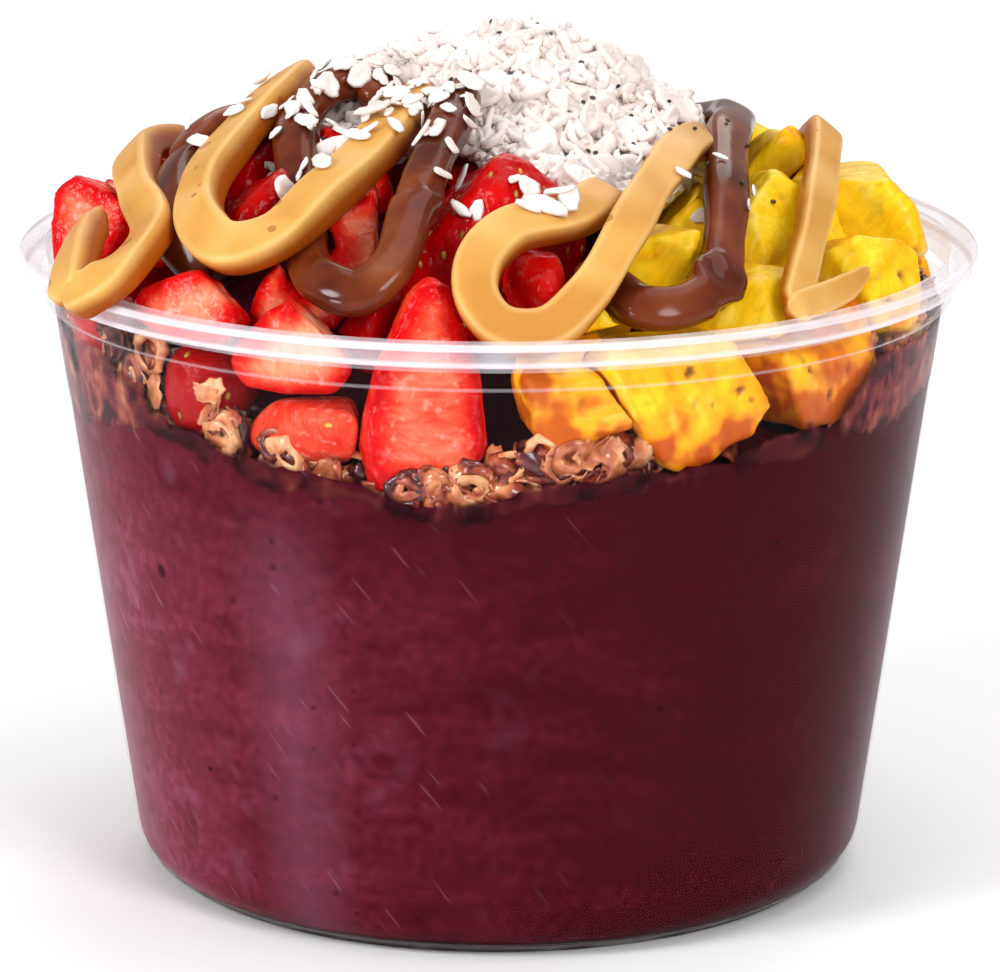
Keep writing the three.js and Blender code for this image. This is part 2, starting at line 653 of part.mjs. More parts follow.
// An arc of granola lying on the acai, a little clear of the wall, its upper edge uneven,
// with chips fused on the side that faces the wall.
function granolaBed([from, to, height, chips], seed, neighbours) {
  const random = randomFrom(seed);
  const corners = [[-2, 0], [-1, 0], [0, 0], [0, 1], [-2, 1]];
  const section = new THREE.Shape(corners.map(([x, y]) => new THREE.Vector2(x, y)));
  const steps = to - from;
  const bar = new THREE.ExtrudeGeometry(section, { depth: steps, steps, bevelEnabled: false });
  const bumps = Array.from({ length: steps + 1 }, () => between(0.7, 1.2, random));
  const shares = { 0: GRANOLA.clear, [-1]: ACAI.rings[0], [-2]: ACAI.rings[1] };
  const bed = reshape(welded(bar), ({ x, y, z }) => {
    const side = Math.round(z);
    const azimuth = ((from + side) * 360) / CUP.sides;
    const share = shares[Math.round(x)];
    const tall = height * bumps[side] * (side === 0 || side === steps ? GRANOLA.endShare : 1);
    const level = acaiLevel(azimuth);
    const radius = share * (innerRadius(level) - GAP) + (y ? GRANOLA.lean * tall : 0);
    const low = Math.max(acaiTop(share, azimuth), level) + 1.5 * GAP;
    const turn = degrees(azimuth);
    return new THREE.Vector3(radius * Math.cos(turn), radius * Math.sin(turn), y ? level + tall : low);
  });
  let solid = carved(toSolid(bed), neighbours);
  const lowest = GRANOLA.flake[1] / 3;
  for (let i = 0; i < chips; i += 1) {
    const azimuth = ((from + ((to - from) * (i + 0.5)) / chips) * 360) / CUP.sides;
    const turn = degrees(azimuth);
    for (let tries = 0; tries < GRANOLA.tries; tries += 1) {
      const z = acaiLevel(azimuth) + between(lowest, lowest + height, random);
      const radius = innerRadius(z) - between(GRANOLA.flake[2], 2.5 * GRANOLA.flake[2], random);
      const lean = [between(-0.5, 0.5, random), between(-0.5, 0.5, random), between(-0.6, 0.4, random)];
      const outward = [Math.cos(turn) + lean[0], Math.sin(turn) + lean[1], lean[2]];
      const along = [-Math.sin(turn), Math.cos(turn), between(-0.8, 0.8, random)];
      const share = between(0.75, 1.25, random);
      const size = GRANOLA.flake.map((value) => value * share);
      const at = [radius * Math.cos(turn), radius * Math.sin(turn), z];
      const chip = toSolid(placed(chipGeometry(size, seed + i), at, outward, along));
      const clear = neighbours.every((other) => chip.intersect(other).isEmpty());
      if (clear && !chip.intersect(solid).isEmpty()) {
        solid = solid.add(chip);
        break;
      }
    }
  }
  return largestBody(solid);
}

// ---------------------------------------------------------------- coconut

// How far a place is from a centre, squared, as shares of a reach along X and Y.
const farness = ([x, y], { centre, reach }) => (
  ((x - centre[0]) / reach[0]) ** 2 + ((y - centre[1]) / reach[1]) ** 2
);

// Height of the coconut heap's top.
function coconutTop(x, y) {
  const { cover, bumps } = COCONUT;
  const rises = bumps.map((bump) => bump.height * Math.exp(-farness([x, y], bump)));
  return rises.reduce((sum, rise) => sum + rise, cover.height - cover.fall * farness([x, y], cover));
}

// A place on the heap's plan: a share of the way from its centre to its edge.
function coconutPlace(share, azimuth, grow) {
  const reach = share * (easedAround(COCONUT.edge, azimuth) + grow);
  const turn = degrees(azimuth);
  return [COCONUT.centre[0] + reach * Math.cos(turn), COCONUT.centre[1] + reach * Math.sin(turn)];
}

function coconutCore(grow = 0) {
  const outline = [
    [0, -1],
    ...COCONUT.rings.map((share) => [share, -1]),
    [1, 0],
    ...COCONUT.rings.toReversed().map((share) => [share, 1]),
    [0, 1],
  ];
  const random = randomFrom(5);
  return reshape(revolve(outline, COCONUT.sides), (point) => {
    const share = Math.hypot(point.x, point.y);
    const [x, y] = coconutPlace(share, azimuthOf(point.x, point.y), grow);
    const thick = COCONUT.thickness * THREE.MathUtils.lerp(1, COCONUT.edgeThickness, share);
    const lumps = between(-1, 1, random) * COCONUT.lumps;
    return point.set(x, y, coconutTop(x, y) - (1 - point.z) * thick + lumps + grow * point.z);
  });
}

// A sliver of coconut.
function shredGeometry(size) {
  return new THREE.OctahedronGeometry(1).scale(...size.map((value) => value / 2));
}

// The heap with the shreds that show, each left out where it would run into a neighbour.
function coconutSolid(core, neighbours) {
  const random = randomFrom(41);
  let solid = core;
  const golden = 180 * (3 - Math.sqrt(5));
  for (let i = 0; i < COCONUT.shreds; i += 1) {
    const share = Math.sqrt((i + 0.5) / COCONUT.shreds) * COCONUT.shredSpread;
    const [x, y] = coconutPlace(share, i * golden, 0);
    const at = [x, y, coconutTop(x, y) + COCONUT.shredLift - COCONUT.shredSink * share];
    const size = COCONUT.shred.map((value) => value * between(0.7, 1.3, random));
    const heading = between(0, 2 * Math.PI, random);
    const along = [Math.cos(heading), Math.sin(heading), between(-0.3, 0.6, random)];
    const outward = new THREE.Vector3(...at).sub(PILE_CENTRE).normalize();
    const up = [outward.x + between(-0.4, 0.4, random), outward.y + between(-0.4, 0.4, random), 1];
    const shred = toSolid(placed(shredGeometry(size), at, up, along));
    if (neighbours.every((other) => shred.intersect(other).isEmpty())) solid = solid.add(shred);
  }
  return largestBody(solid);
}

// Loose slivers on other pieces: [x, y, length, heading in degrees] of each.
const LOOSE_SLIVERS = {
  strawberry_08: [[4.6, -31, 6.4, 4]],
  strawberry_10: [[-26.6, -25, 4.6, 100]],
  strawberry_14: [[-20.6, -11.6, 5, 40]],
  peanut_butter_left: [[-24.6, 6, 4.6, 70], [-13, -15.6, 5.4, 30]],
  chocolate_middle: [[-6.9, -21, 4.4, 60], [-19, 1, 5, -20]],
};

// The piece with slivers fused on where they lie on it, clear of its neighbours.
function withSlivers(solid, slivers, neighbours) {
  let whole = solid;
  for (const [x, y, length, heading] of slivers) {
    const plumb = toSolid(new THREE.BoxGeometry(GAP, GAP, LARGE).translate(x, y, 0));
    const at = [x, y, reachOf(solid.intersect(plumb), [0, 0, 1])];
    const up = new THREE.Vector3(...at).sub(PILE_CENTRE).toArray();
    const turn = degrees(heading);
    const [, width, thickness] = COCONUT.shred;
    const sliver = shredGeometry([length, width, thickness]);
    const piece = toSolid(placed(sliver, at, up, [Math.cos(turn), Math.sin(turn), 0]));
    if (neighbours.every((other) => piece.intersect(other).isEmpty())) whole = whole.add(piece);
  }
  return whole;
}

// ---------------------------------------------------------------- the whole bowl

const MATERIALS = {
  cup: new THREE.MeshStandardMaterial({
    color: 0xe8e4e8, roughness: 0.12, metalness: 0, transparent: true, opacity: 0.35,
  }),
  acai: new THREE.MeshStandardMaterial({ color: 0x5c2338, roughness: 0.5, metalness: 0 }),
  strawberry: new THREE.MeshStandardMaterial({ color: 0xd2202a, roughness: 0.25, metalness: 0 }),
  pineapple: new THREE.MeshStandardMaterial({ color: 0xf4c41e, roughness: 0.3, metalness: 0 }),
  peanut: new THREE.MeshStandardMaterial({
    color: PEANUT.colour, roughness: PEANUT.roughness, metalness: 0,
  }),
  chocolate: new THREE.MeshStandardMaterial({
    color: CHOCOLATE.colour, roughness: CHOCOLATE.roughness, metalness: 0,
  }),
  granola: new THREE.MeshStandardMaterial({ color: 0xa5663c, roughness: 0.7, metalness: 0 }),
  coconut: new THREE.MeshStandardMaterial({ color: 0xf5f1ec, roughness: 0.6, metalness: 0 }),
};

const pieces = new Map();

function addPiece(name, solid, material) {
  pieces.set(name, { solid, material });
}

addPiece('cup', cupSolid, MATERIALS.cup);
addPiece('acai', acaiSolid, MATERIALS.acai);

// Ribbons lie over the fruit and into the coconut, so they come first and are cut the least.
const ribbonClearances = [];
for (const [name, ribbon] of Object.entries(RIBBONS)) {
  const material = ribbon.kind === PEANUT ? MATERIALS.peanut : MATERIALS.chocolate;
  addPiece(name, carved(ribbonSolid(ribbon, 0), [cupClearance, ...ribbonClearances]), material);
  ribbonClearances.push(ribbonSolid(ribbon, GAP));
}

const vessel = [cupClearance, acaiClearance];
const aroundFruit = [...ribbonClearances, toSolid(coconutCore(GAP))];

// Fruit takes the form of the wall and the acai, and lies flat against the rest.
function addFruit(name, solid, clearance, material) {
  addPiece(name, pressed(carved(solid, vessel), aroundFruit), material);
  aroundFruit.push(clearance);
}

const numbered = (kind, i) => `${kind}_${String(i + 1).padStart(2, '0')}`;

BERRIES.forEach((spec, i) => {
  const seed = 100 + i;
  const berry = berrySolid(spec, seed, 0);
  addFruit(numbered('strawberry', i), berry, berrySolid(spec, seed, GAP), MATERIALS.strawberry);
});

CHUNKS.forEach((spec, i) => {
  const seed = 200 + i;
  const chunk = chunkSolid(spec, seed, 0);
  addFruit(numbered('pineapple', i), chunk, chunkSolid(spec, seed, GAP), MATERIALS.pineapple);
});

Object.entries(GRANOLA_BEDS).forEach(([name, spec], i) => {
  const bed = granolaBed(spec, 320 + 50 * i, [...vessel, ...aroundFruit]);
  addPiece(name, bed, MATERIALS.granola);
});

// Coconut fits its core between the ribbons, and its slivers between everything.
const coconutBody = carved(toSolid(coconutCore()), ribbonClearances);
const besideCoconut = [...ribbonClearances, ...[...pieces.values()].map(({ solid }) => solid)];
addPiece('coconut', coconutSolid(coconutBody, besideCoconut), MATERIALS.coconut);

for (const [name, slivers] of Object.entries(LOOSE_SLIVERS)) {
  const others = [...pieces].filter(([other]) => other !== name).map(([, { solid }]) => solid);
  const piece = pieces.get(name);
  piece.solid = withSlivers(piece.solid, slivers, others);
}

const bowl = new THREE.Group();

for (const [name, { solid, material }] of pieces) {
  const mesh = new THREE.Mesh(toGeometry(solid), material);
  mesh.name = name;
  bowl.add(mesh);
}

export default bowl;
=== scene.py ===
"""Acai bowl in a clear deli cup: every visible piece, its finish, the light and the camera."""

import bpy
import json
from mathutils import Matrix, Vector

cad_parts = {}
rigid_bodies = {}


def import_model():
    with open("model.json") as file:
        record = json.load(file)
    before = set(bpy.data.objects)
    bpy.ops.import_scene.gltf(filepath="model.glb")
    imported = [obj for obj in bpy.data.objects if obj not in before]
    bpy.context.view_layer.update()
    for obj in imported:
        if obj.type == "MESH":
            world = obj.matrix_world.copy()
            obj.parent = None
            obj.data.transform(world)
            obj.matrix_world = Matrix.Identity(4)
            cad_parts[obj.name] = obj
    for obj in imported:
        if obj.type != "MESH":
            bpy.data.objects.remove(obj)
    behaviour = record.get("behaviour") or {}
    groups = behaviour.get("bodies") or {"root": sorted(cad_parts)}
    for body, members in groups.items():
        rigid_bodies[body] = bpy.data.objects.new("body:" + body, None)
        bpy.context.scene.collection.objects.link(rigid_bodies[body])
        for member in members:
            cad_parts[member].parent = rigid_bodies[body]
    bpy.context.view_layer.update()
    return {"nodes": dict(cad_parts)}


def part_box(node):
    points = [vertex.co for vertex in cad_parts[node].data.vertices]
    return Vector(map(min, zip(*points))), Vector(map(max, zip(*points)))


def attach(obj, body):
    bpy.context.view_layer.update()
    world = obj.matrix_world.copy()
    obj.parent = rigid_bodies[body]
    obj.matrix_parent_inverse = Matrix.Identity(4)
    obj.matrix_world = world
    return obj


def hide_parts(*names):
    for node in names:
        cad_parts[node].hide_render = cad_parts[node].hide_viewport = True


bl_info = {
    "name": "Acai bowl",
    "version": (1, 0, 0),
    "blender": (4, 5, 0),
    "location": "3D View > Sidebar > Acai bowl",
    "description": "Builds an acai bowl in a clear deli cup, piece by piece, round its packed CAD part",
    "category": "Object",
}

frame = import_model()

import json
import math
import random
from functools import partial

import bmesh
import bpy
from bpy.props import FloatProperty, FloatVectorProperty, IntProperty, PointerProperty
from bpy.types import Operator, Panel, PropertyGroup
from mathutils import Matrix, Vector, noise
from mathutils.bvhtree import BVHTree
from mathutils.kdtree import KDTree

MM = 0.001
UP = Vector((0, 0, 1))
PILE_CENTRE = Vector((0, 0, 45)) * MM  # the heap's surface looks away from here

# Height of the acai at the wall: (azimuth in degrees, millimetres), as in the CAD source.
ACAI_LEVEL = [
    (-164, 61.2), (-140, 63.2), (-116, 59.8), (-97, 56.8), (-83, 59.2), (-66, 60.4),
    (-50, 62.4), (-30, 63), (0, 65), (40, 68), (90, 67), (140, 68.5), (176, 65),
]
ACAI_MOUND = 81  # its top in the middle, under the fruit
ACAI_BRIM = 60  # its side is first made up to here, and then drawn up or down to the level

# The cup, in millimetres.
WALL = 0.95
DRAFT = math.radians(8)
SHOULDER = (54.4, 71.2)  # outer radius and height where the sloping wall ends
CORNER_RADIUS = 6
CORNER = (
    SHOULDER[0] - math.tan(DRAFT) * (SHOULDER[1] - 6.2) - CORNER_RADIUS / math.cos(DRAFT), 6.2
)


# ---------------------------------------------------------------- meshes


def smoothstep(value, low, high):
    """0 below low, 1 above high, and eased between them."""
    share = min(1, max(0, (value - low) / (high - low)))
    return share * share * (3 - 2 * share)


def inner_radius(z):
    """The cup's inner radius at a height, both in millimetres."""
    return SHOULDER[0] - math.tan(DRAFT) * (SHOULDER[1] - z) - WALL / math.cos(DRAFT)


def acai_level(azimuth):
    """Height of the acai at the wall, in millimetres."""
    turn = (azimuth - ACAI_LEVEL[0][0]) % 360 + ACAI_LEVEL[0][0]
    stops = ACAI_LEVEL + [(ACAI_LEVEL[0][0] + 360, ACAI_LEVEL[0][1])]
    for (start, low), (end, high) in zip(stops, stops[1:]):
        if turn <= end:
            return low + (high - low) * smoothstep(turn, start, end)
    return stops[-1][1]


def polar(azimuth, radius, z):
    """The point at an azimuth in degrees, and at a radius and a height in millimetres."""
    turn = math.radians(azimuth)
    return Vector((radius * math.cos(turn), radius * math.sin(turn), z)) * MM


def any_way(rng, spread=1):
    """A random vector, none of its parts longer than the spread."""
    return Vector([rng.uniform(-spread, spread) for _ in range(3)])


def linked(name, mesh, *materials):
    """An object that shows this mesh smooth, in these materials."""
    mesh.shade_smooth()
    for material in materials:
        mesh.materials.append(material)
    obj = bpy.data.objects.new(name, mesh)
    bpy.context.scene.collection.objects.link(obj)
    return obj


def new_object(name, bm, *materials):
    """Turns a bmesh into an object."""
    mesh = bpy.data.meshes.new(name)
    bm.to_mesh(mesh)
    bm.free()
    return linked(name, mesh, *materials)


def finished(obj, slot, *nodes):
    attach(obj, "root")
    if nodes:
        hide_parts(*nodes)
    return obj


def copy_of(node):
    """A copy of a CAD node as a bmesh, its loose triangles joined."""
    bm = bmesh.new()
    bm.from_mesh(frame["nodes"][node].data)
    bmesh.ops.remove_doubles(bm, verts=bm.verts, dist=0.01 * MM)
    return bm


def evened(bm, size):
    """The closed shape again, as an even net of small squares."""
    obj = new_object("even", bm)
    remesh = obj.modifiers.new("even", "REMESH")
    remesh.mode = "VOXEL"
    remesh.voxel_size = size
    shape = bpy.data.meshes.new_from_object(obj.evaluated_get(bpy.context.evaluated_depsgraph_get()))
    even = bmesh.new()
    even.from_mesh(shape)
    bpy.data.meshes.remove(shape)
    bpy.data.meshes.remove(obj.data)
    even.verts.ensure_lookup_table()
    return even


def relax(bm, verts, times):
    """Smooths these vertices."""
    for _ in range(times):
        bmesh.ops.smooth_vert(
            bm, verts=verts, factor=0.5, use_axis_x=True, use_axis_y=True, use_axis_z=True
        )


def push(verts, distances):
    """Moves vertices outwards, each by its own distance in millimetres."""
    for vert, distance in zip(verts, distances):
        vert.co += vert.normal * distance * MM


def swell_back(verts, tree):
    """Moves vertices outwards by what smoothing took off them on average."""
    lost = 0
    for vert in verts:
        near, normal, _, _ = tree.find_nearest(vert.co)
        lost += (near - vert.co).dot(normal) / MM
    push(verts, [lost / len(verts)] * len(verts))


def spun(points, steps):
    """A solid of revolution about Z from (radius, height) points in millimetres."""
    bm = bmesh.new()
    verts = [bm.verts.new((radius * MM, 0, z * MM)) for radius, z in points]
    edges = [bm.edges.new(pair) for pair in zip(verts, verts[1:])]
    bmesh.ops.spin(
        bm, geom=verts + edges, cent=(0, 0, 0), axis=UP, angle=2 * math.pi,
        steps=steps, use_merge=True, use_duplicate=False,
    )
    bmesh.ops.remove_doubles(bm, verts=bm.verts, dist=0.005 * MM)
    bmesh.ops.recalc_face_normals(bm, faces=bm.faces)
    return bm


def inside_wall(point, gap):
    """The point, moved in where it would run into the cup's wall. The gap is in metres."""
    radius = math.hypot(point.x, point.y)
    most = inner_radius(point.z / MM) * MM - gap
    if radius > most:
        point.x *= most / radius
        point.y *= most / radius
    return point


def scattered(name, shapes, places, material, gap=None, tones=None):
    """One mesh that holds many copies of small shapes: places are (index of the shape, matrix).
    With a gap, it all stays that far inside the cup's wall. With tones, each copy gets its own."""
    verts, faces, shades = [], [], []
    for i, (which, matrix) in enumerate(places):
        start = len(verts)
        corners, sides = shapes[which]
        verts.extend(matrix @ corner for corner in corners)
        shades.extend([tones[i] if tones else 0] * len(corners))
        faces.extend([start + i for i in side] for side in sides)
    if gap is not None:
        verts = [inside_wall(point, gap + 0.25 * MM * (i % 3)) for i, point in enumerate(verts)]
    mesh = bpy.data.meshes.new(name)
    mesh.from_pydata(verts, [], faces)
    mesh.attributes.new("tone", "FLOAT", "POINT").data.foreach_set("value", shades)
    return linked(name, mesh, material)


def turned(at, up, along, size=(1, 1, 1)):
    """A place whose Z looks up and whose X looks as near as it can along."""
    z = Vector(up).normalized()
    x = (Vector(along) - z * z.dot(Vector(along))).normalized()
    turn = Matrix((x, z.cross(x), z)).transposed().to_4x4()
    return Matrix.Translation(at) @ turn @ Matrix.Diagonal((*size, 1))


def objects_named(*starts):
    """The objects whose names start so."""
    return [obj for obj in bpy.data.objects if obj.name.startswith(starts)]


def tree_of(*objects):
    """A search tree of what these objects show."""
    verts, faces = [], []
    for obj in objects:
        start = len(verts)
        verts.extend(v.co for v in obj.data.vertices)
        faces.extend([start + i for i in p.vertices] for p in obj.data.polygons)
    return BVHTree.FromPolygons(verts, faces)


def near_some(vert, tree, reach):
    """Whether a vertex is within reach of the faces in a search tree, where there is one."""
    return tree is not None and tree.find_nearest(vert.co, reach)[0] is not None


def tree_of_points(verts):
    """A search tree of vertices alone."""
    tree = KDTree(len(verts))
    for i, vert in enumerate(verts):
        tree.insert(vert.co, i)
    tree.balance()
    return tree


def paint(bm, name, values):
    """Stores a number for each vertex."""
    layer = bm.verts.layers.float.new(name)
    for vert, value in zip(bm.verts, values):
        vert[layer] = value


def paint_grain(bm, turn, centre):
    """Stores each vertex's place in the fruit's own frame, in metres, for grain that follows it."""
    layer = bm.verts.layers.float_vector.new("grain")
    for vert in bm.verts:
        vert[layer] = turn @ (vert.co - centre)


def shape_of(bm):
    """Corners and sides of a small shape, to be scattered."""
    bm.verts.index_update()
    shape = [v.co.copy() for v in bm.verts], [[v.index for v in f.verts] for f in bm.faces]
    bm.free()
    return shape


def leaf(length, width, thickness, curl, cells, seed, ragged, softness=0):
    """A small curled flake, along X, about its middle."""
    rng = random.Random(seed)
    bm = bmesh.new()
    bmesh.ops.create_grid(bm, x_segments=cells[0], y_segments=cells[1], size=0.5)
    for vert in bm.verts:
        x, y = vert.co.x, vert.co.y
        taper = 1 - 0.55 * abs(2 * x) ** 2.2
        y = y * taper * (1 + ragged * rng.uniform(-1, 1)) + ragged * 0.35 * math.sin(5 * x + seed)
        x *= 1 + ragged * 0.6 * rng.uniform(-1, 1)
        lift = curl * ((2 * y) ** 2 + 0.5 * (2 * x) ** 2) + 0.12 * rng.uniform(-1, 1)
        vert.co = Vector((x * length, y * width, lift * width * 0.5))
    bmesh.ops.recalc_face_normals(bm, faces=bm.faces)
    bmesh.ops.solidify(bm, geom=bm.faces[:], thickness=thickness)
    relax(bm, bm.verts[:], softness)
    bmesh.ops.recalc_face_normals(bm, faces=bm.faces)
    return shape_of(bm)


def ring(section, flat, cells, seed):
    """A small uneven ring, one across, about its middle."""
    rng = random.Random(seed)
    turns = [2 * math.pi * i / cells[1] for i in range(cells[1] + 1)]
    points = [(500 - section * (1 - math.cos(t)), flat * section * math.sin(t)) for t in turns]
    bm = spun(points, cells[0])
    shift = Vector((rng.uniform(0, 9), rng.uniform(0, 9), seed))
    for vert in bm.verts:
        vert.co += noise.noise_vector(vert.co * 2.2 + shift) * 0.24
    return shape_of(bm)


def grain(detail, radius, size):
    """A small rounded grain, its radius in millimetres."""
    bm = bmesh.new()
    bmesh.ops.create_icosphere(bm, subdivisions=detail, radius=radius * MM)
    bmesh.ops.scale(bm, vec=size, verts=bm.verts)
    return shape_of(bm)


# ---------------------------------------------------------------- finishes


def linear(code):
    """Linear red, green and blue of an sRGB hex colour."""
    parts = [int(code[i : i + 2], 16) / 255 for i in (1, 3, 5)]
    return tuple(p / 12.92 if p <= 0.04045 else ((p + 0.055) / 1.055) ** 2.4 for p in parts)


def rgba(value):
    """A hex code, a grey from 0 to 1 or a colour setting, as a node takes it."""
    if isinstance(value, str):
        return (*linear(value), 1)
    return (value, value, value, 1) if isinstance(value, (int, float)) else (*value, 1)


def add(tree, kind, *values, **named):
    """Adds a node, its operation after a colon in its kind. Values go to its sockets in order, or by
    number from a dictionary. A name with a capital is a socket's, and one without a setting's.
    A socket takes a number, a colour or another node's output."""
    kind, _, operation = kind.partition(":")
    made = tree.nodes.new("ShaderNode" + kind)
    if operation:
        made.operation = operation
    inputs = values[0] if values and isinstance(values[0], dict) else dict(enumerate(values))
    for key, value in named.items():
        if key == "stops":
            ramp = made.color_ramp
            while len(ramp.elements) < len(value):
                ramp.elements.new(1)
            for element, (place, shade) in zip(ramp.elements, value):
                element.position, element.color = place, rgba(shade)
        elif key[0].isupper():
            inputs[key.replace("_", " ")] = value
        else:
            setattr(made, key, value)
    for key, value in inputs.items():
        socket = made.inputs[key]
        if isinstance(value, bpy.types.NodeSocket):
            tree.links.new(value, socket)
        else:
            socket.default_value = rgba(value) if socket.type == "RGBA" else value
    return made.outputs


def new_finish(name):
    """An empty material, a function that adds nodes to it, and its pieces' own coordinates."""
    material = bpy.data.materials.new(name)
    material.use_nodes = True
    material.node_tree.nodes.clear()
    node = partial(add, material.node_tree)
    return material, node, node("TexCoord")["Object"]


def specks(node, coords, scale, least, size, strength):
    """Where round specks lie: scale is places per metre, and least the share of them left bare."""
    cells = node("TexVoronoi", Vector=coords, Scale=scale)
    chance = node("SeparateColor", cells["Color"])[0]
    reach = node("MapRange", Value=chance, From_Min=least, To_Max=size)[0]
    speck = node("Math:LESS_THAN", cells["Distance"], reach)[0]
    return node("Math:MULTIPLY", speck, strength)[0]


def fine_bump(node, coords, scale, strength):
    """Fine unevenness, up to 0.3 mm deep."""
    fine = node("TexNoise", Vector=coords, Scale=scale, Detail=1)[0]
    return node("Bump", Height=fine, Strength=strength, Distance=0.3 * MM)[0]


def surfaced(material, node, shade, roughness, specular, **more):
    """Ends a material in one surface of this shade."""
    more |= {"Base_Color": shade, "Roughness": roughness, "Specular_IOR_Level": specular}
    node("OutputMaterial", node("BsdfPrincipled", **more)[0])
    return material


def mottled(name, scale, detail, roughness, specular, stops):
    """A plain surface that is softly mottled between a few shades."""
    material, node, coords = new_finish(name)
    soft = node("TexNoise", Vector=coords, Scale=scale, Detail=detail)[0]
    return surfaced(material, node, node("ValToRGB", soft, stops=stops)[0], roughness, specular)


def fruit_skin_and_flesh(look):
    """Strawberry, cut wet: saturated waxy red skin, and paler watery flesh with light veins."""
    material, node, coords = new_finish("strawberry_skin_and_flesh")
    grain = node("Attribute", attribute_name="grain")["Vector"]
    flesh = node("Attribute", attribute_name="flesh")["Fac"]
    tone = node("Attribute", attribute_name="tone")["Fac"]
    # Veins run across the berry from its core, about 1.2 mm apart.
    stretched = node("Mapping", Vector=grain, Scale=(260, 260, 800))[0]
    veins = node("TexNoise", Vector=stretched, Scale=1, Detail=2, Distortion=0.6)[0]
    blotches = node("TexNoise", Vector=coords, Scale=230, Detail=2)[0]
    shift = node("Math:MULTIPLY_ADD", veins, 1, -0.5)[0]
    shift = node("Math:MULTIPLY", shift, flesh)[0]
    patch = node("Math:MULTIPLY_ADD", blotches, 0.4, -0.2)[0]
    share = node("Math:ADD", flesh, shift)[0]
    share = node("Math:ADD", share, patch, use_clamp=True)[0]
    shades = node("ValToRGB", share, stops=[
        (0, look.skin), (0.16, "#D8120F"), (0.34, "#EC442C"), (0.6, "#F58060"), (1, look.flesh)
    ])[0]
    # Riper berries are deeper and cooler all through; for berries sitting in shade in the cup, the
    # depth is also painted shade.
    deep = node("Mix", {0: tone, 6: shades, 7: "#A8283A"}, data_type="RGBA", blend_type="MULTIPLY")[2]
    # Painted glints: pale flecks of 0.5 mm on a cut face, where water-filled cells glint.
    fine = node("TexNoise", Vector=coords, Scale=800, Detail=2)[0]
    fleck_and_glint = node("ValToRGB", fine, stops=[(0.58, 0), (0.7, 0.5)])[0]
    fleck_and_glint = node("Math:MULTIPLY", fleck_and_glint, flesh)[0]
    shown = node("Mix", {0: fleck_and_glint, 6: deep, 7: "#FBDCC8"}, data_type="RGBA")[2]
    height = node("Math:MULTIPLY_ADD", veins, flesh, fine)[0]
    bump = node("Bump", Height=height, Strength=0.6, Distance=0.5 * MM)[0]
    rough = node("MapRange", Value=blotches, To_Min=0.05, To_Max=0.3)[0]
    return surfaced(material, node, shown, rough, 0.16, Normal=bump, IOR=1.4)


def strawberry_seed(look):
    """Strawberry seed: a hard, dry grain, straw yellow to brown."""
    stops = [(0.35, "#8A4A12"), (0.55, look.seed), (0.75, "#DDB04C")]
    return mottled("strawberry_seed", 160, 1, 0.35, 0.5, stops)


def pineapple_flesh(look):
    """Pineapple, cut wet: translucent yellow pulp in fine radial fibres, stained where juice and
    puree reach it."""
    material, node, coords = new_finish("pineapple_flesh")
    grain = node("Attribute", attribute_name="grain")["Vector"]
    stain = node("Attribute", attribute_name="stain")["Fac"]
    eye = node("Attribute", attribute_name="eye")["Fac"]
    # Fibres run from the core to the rind, about 1 mm apart.
    stretched = node("Mapping", Vector=grain, Scale=(900, 900, 170))[0]
    fibres = node("TexNoise", Vector=stretched, Scale=1, Detail=2, Distortion=0.8)[0]
    soft = node("TexNoise", Vector=coords, Scale=150, Detail=1)[0]
    both = node("Math:MULTIPLY", fibres, 0.45)[0]
    both = node("Math:MULTIPLY_ADD", soft, 0.6, both)[0]
    shades = node("ValToRGB", both, stops=[
        (0.32, "#F4A206"), (0.44, "#FEC40A"), (0.58, look.flesh), (0.78, "#FFEA6E")
    ])[0]
    ragged = node("TexNoise", Vector=coords, Scale=240, Detail=2)[0]
    ragged = node("Math:MULTIPLY_ADD", ragged, 1.5, -0.75)[0]
    reach = node("Math:ADD", stain, ragged)[0]
    warm = node("ValToRGB", reach, stops=[(0.25, 0), (0.95, 1)])[0]
    warm = node("Math:MULTIPLY", warm, 0.85)[0]
    warmed = node("Mix", {0: warm, 6: shades, 7: "#EC8428"}, data_type="RGBA", blend_type="MULTIPLY")[2]
    red = node("ValToRGB", reach, stops=[(0.72, 0), (1, 0.62)])[0]
    stained = node("Mix", {0: red, 6: warmed, 7: look.stain}, data_type="RGBA")[2]
    shown = node("Mix", {0: eye, 6: stained, 7: "#7A3A14"}, data_type="RGBA")[2]
    height = node("Math:ADD", fibres, ragged)[0]
    bump = node("Bump", Height=height, Strength=0.3, Distance=0.4 * MM)[0]
    rough = node("MapRange", Value=soft, To_Min=0.2, To_Max=0.45)[0]
    return surfaced(material, node, shown, rough, 0.3, Normal=bump, IOR=1.4)


# How frosted the puree is round the wall, and painted light on it: lighter on the left, where the lamps
# light it, darker on the right, in shade: (share of the turn from the back, frost and painted light).
FROST_AND_PAINTED_LIGHT = [
    (0, 0.35), (0.15, 0.5), (0.26, 0.9), (0.33, 0.86), (0.37, 0.7), (0.405, 0.54), (0.42, 0.5),
    (0.437, 0.5), (0.452, 0.42), (0.475, 0.3), (0.5, 0.22), (0.55, 0.08), (0.6, 0), (0.66, 0.05),
    (0.72, 0.25), (0.82, 0.2), (1, 0.35),
]


